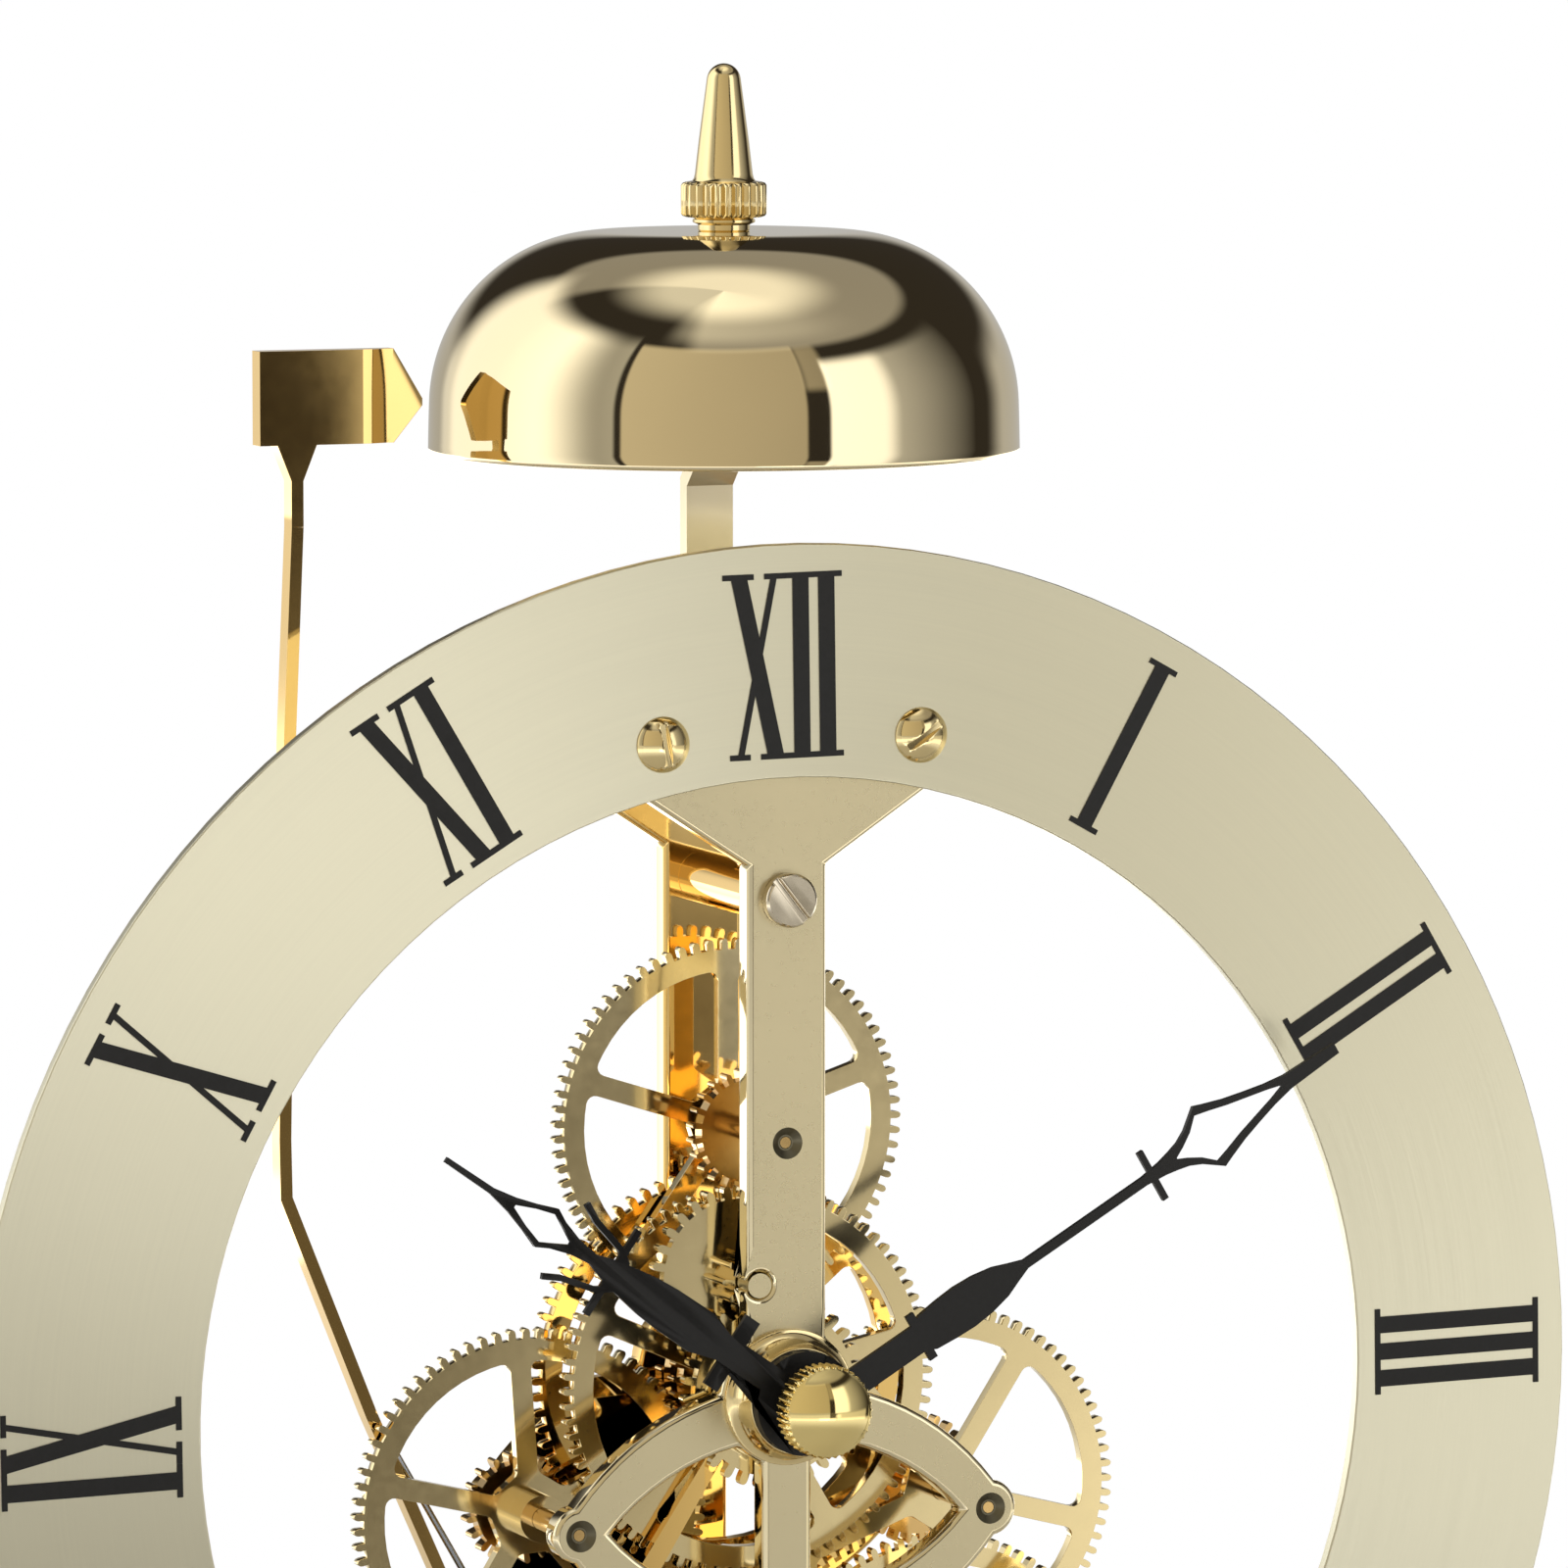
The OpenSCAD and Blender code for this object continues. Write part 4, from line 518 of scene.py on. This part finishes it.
make_bell()
make_finial()
make_hand_nut()
edged("front_plate", 0.5, "edge_brass", segments=4, smallest=SMALL_HOLE,
      flat="satin_brass", shaded_sink="sink_shade_brass")
edged("rear_plate", 0.5, "polished_brass", segments=4, smallest=SMALL_HOLE)
edged("dial_ring", 0.15, "dial_brass", segments=3, smallest=SMALL_HOLE)
edged("hammer", 0.18, node_look["hammer"], segments=3, shape=step_head)
# Widths of the rounded edges in millimetres
EDGE_WIDTHS = {
    "hour_hand": 0.08, "minute_hand": 0.08, "pillars": 0.1, "dial_screws": 0.1,
    "pillar_screws": 0.1, "bell_post": 0.12, "second_wheel": 0.06, "third_wheel": 0.06,
    "fourth_wheel": 0.06, "centre_wheel": 0.06, "pipe_wheel": 0.06, "centre_boss": 0.1,
}
for node, width in EDGE_WIDTHS.items():
    edged(node, width, node_look[node])


# Studio: a pale floor, and a white world in which soft boxes show only in reflections

# The floor ends here, in metres from its middle, and turns to pure white between these two
FLOOR_R = 0.42
FADE_FROM, FADE_TO = 0.2, 0.4


def make_floor():
    bpy.ops.mesh.primitive_circle_add(vertices=96, radius=FLOOR_R, fill_type="NGON")
    floor = bpy.context.object
    floor.name = "floor"
    material, tree, shader = new_material("floor")
    shader.inputs["Base Color"].default_value = (0.86, 0.86, 0.85, 1)
    shader.inputs["Roughness"].default_value = 0.7
    coords = object_coords(tree)
    length = add(tree, "ShaderNodeVectorMath", operation="LENGTH")
    tree.links.new(coords, length.inputs[0])
    fade = map_range(tree, length.outputs["Value"], FADE_FROM, FADE_TO, 0, 1, True)
    glow = add(tree, "ShaderNodeEmission")
    glow.inputs["Strength"].default_value = 1.0
    mix = add(tree, "ShaderNodeMixShader")
    tree.links.new(fade, mix.inputs[0])
    tree.links.new(shader.outputs[0], mix.inputs[1])
    tree.links.new(glow.outputs[0], mix.inputs[2])
    tree.links.new(mix.outputs[0], tree.nodes["Material Output"].inputs["Surface"])
    floor.data.materials.append(material)


# Soft boxes: azimuths from and to, counted from the dial side towards +X, elevations from
# and to, softness left, right, down and up (all degrees), strength left and right, colour.
# The first ones show in the bell, and the low ones in the flat pieces. A box without softness
# downwards has no lower edge, and one all the way round has no sides
SOFT_BOXES = [
    ((-160, -86), (-4.5, 47), (10, 16, 0.6, 6), (1.3, 1.42), (1, 0.99, 0.95)),
    ((-126, -65), (-4.5, 46), (2, 1, 0.6, 6), (0.0, 0.45), (1, 0.98, 0.90)),
    ((-62, 11), (-4.5, 45), (0.8, 0.8, 0.6, 2), (0.64, 0.46), (1, 0.88, 0.64)),
    ((11.5, 22), (17, 44), (2, 2, 3, 3), (0.36, 0.3), (1, 0.88, 0.64)),
    ((20.5, 48), (-5.5, 33), (1.0, 5, 1.5, 3.5), (0.65, 0.85), (1, 1, 1)),
    ((20.5, 94), (-5.5, 34), (1.0, 1.5, 1.5, 3.5), (0.85, 0.0), (1, 0.99, 0.95)),
    ((111, 200), (-4.5, 12), (9, 4, 0.6, 6), (0.5, 0.45), (1, 0.99, 0.96)),
    ((-38, 220), (44, 140), (6, 6, 2.5, 6), (0.34, 0.3), (1, 0.96, 0.88)),
    ((-180, 180), (69, 140), (0, 0, 9, 6), (0.8, 0.8), (1, 0.98, 0.9)),
    ((-48, 45), (50, 140), (9, 24, 6, 6), (0.35, 0.1), (1, 0.98, 0.9)),
    ((-62, 11), (-7.5, -4.5), (1, 1, 1.2, 0.6), (0.5, 0.5), (1, 0.98, 0.92)),
    ((-62, 11), (-60, -7.5), (1, 1, 3, 1.2), (0.8, 0.8), (1, 0.98, 0.92)),
    ((12, 22), (-60, -4.5), (1, 1, 3, 0.6), (0.09, 0.09), (1, 0.9, 0.7)),
    ((-8, 22), (-60, -14), (2, 2, 3, 2), (1.3, 1.3), (1, 0.96, 0.88)),
    ((21, 31), (-13, -8), (1, 3, 2, 1.2), (0.6, 0.6), (1, 0.96, 0.84)),
    ((24, 88), (-60, -6), (3, 3, 3, 2), (0.85, 0.6), (1, 0.96, 0.84)),
    ((-160, -62), (-60, -4.5), (3, 3, 3, 0.6), (1.0, 0.7), (1, 0.98, 0.92)),
    ((113, 212), (-60, -4.5), (9, 4, 3, 0.6), (2.4, 2.0), (1, 0.98, 0.92)),
    ((-180, 180), (-90, -14), (0, 0, 0, 2), (0.9, 0.9), (1, 0.96, 0.88)),
]
# What shows between the soft boxes
DARK = (0.035, 0.03, 0.025)


def soft_box(tree, azimuth, elevation, box):
    (az_from, az_to), (el_from, el_to), (left, right, down, up), strengths, tint = box
    half = (az_to - az_from) / 2
    wrap = add(tree, "ShaderNodeMath", operation="WRAP")
    tree.links.new(math_node(tree, "SUBTRACT", azimuth, (az_from + az_to) / 2), wrap.inputs[0])
    wrap.inputs[1].default_value = 180
    wrap.inputs[2].default_value = -180
    off = wrap.outputs[0]
    mask = map_range(tree, elevation, el_to - up, el_to + up, 1, 0, True)
    edges = []
    if down:
        edges.append(map_range(tree, elevation, el_from - down, el_from + down, 0, 1, True))
    if half < 180:
        edges.append(map_range(tree, off, -half - left, -half + left, 0, 1, True))
        edges.append(map_range(tree, off, half - right, half + right, 1, 0, True))
    for edge in edges:
        mask = math_node(tree, "MULTIPLY", mask, edge)
    level = map_range(tree, off, -half, half, *strengths)
    colour = add(tree, "ShaderNodeVectorMath", operation="SCALE")
    colour.inputs[0].default_value = tint
    tree.links.new(math_node(tree, "MULTIPLY", mask, level), colour.inputs["Scale"])
    return colour.outputs[0]


def make_world():
    world = bpy.data.worlds.new("studio")
    bpy.context.scene.world = world
    world.use_nodes = True
    tree = world.node_tree
    background = tree.nodes["Background"]
    split = add(tree, "ShaderNodeSeparateXYZ")
    tree.links.new(add(tree, "ShaderNodeTexCoord").outputs["Generated"], split.inputs[0])
    x, y, z = split.outputs
    azimuth = math_node(tree, "DEGREES", math_node(
        tree, "ARCTAN2", x, math_node(tree, "MULTIPLY", y, -1.0)))
    elevation = math_node(tree, "DEGREES", math_node(tree, "ARCSINE", z))
    light = add(tree, "ShaderNodeRGB").outputs[0]
    light.default_value = (*DARK, 1)
    for box in SOFT_BOXES:
        total = add(tree, "ShaderNodeVectorMath", operation="ADD")
        tree.links.new(light, total.inputs[0])
        tree.links.new(soft_box(tree, azimuth, elevation, box), total.inputs[1])
        light = total.outputs[0]
    tree.links.new(light, background.inputs["Color"])
    white = add(tree, "ShaderNodeBackground")
    white.inputs["Color"].default_value = (1, 1, 1, 1)
    mix = add(tree, "ShaderNodeMixShader")
    tree.links.new(add(tree, "ShaderNodeLightPath").outputs["Is Camera Ray"], mix.inputs[0])
    tree.links.new(background.outputs[0], mix.inputs[1])
    tree.links.new(white.outputs[0], mix.inputs[2])
    tree.links.new(mix.outputs[0], tree.nodes["World Output"].inputs["Surface"])


# The camera looks along yaw towards +X and down by pitch, in degrees
CAMERA_AT = (-0.32706, -0.82146, 0.26291)
YAW, PITCH = 21.962, 5.685
LENS, SENSOR = 231.4, 36


def make_camera():
    data = bpy.data.cameras.new("camera")
    data.lens = LENS
    data.sensor_width = SENSOR
    data.clip_start = 0.05
    data.clip_end = 20
    camera = bpy.data.objects.new("camera", data)
    camera.location = CAMERA_AT
    camera.rotation_euler = (math.radians(90 - PITCH), 0, math.radians(-YAW))
    bpy.context.scene.collection.objects.link(camera)
    bpy.context.scene.camera = camera


make_floor()
make_world()
make_camera()
bpy.context.scene.view_settings.view_transform = "Standard"
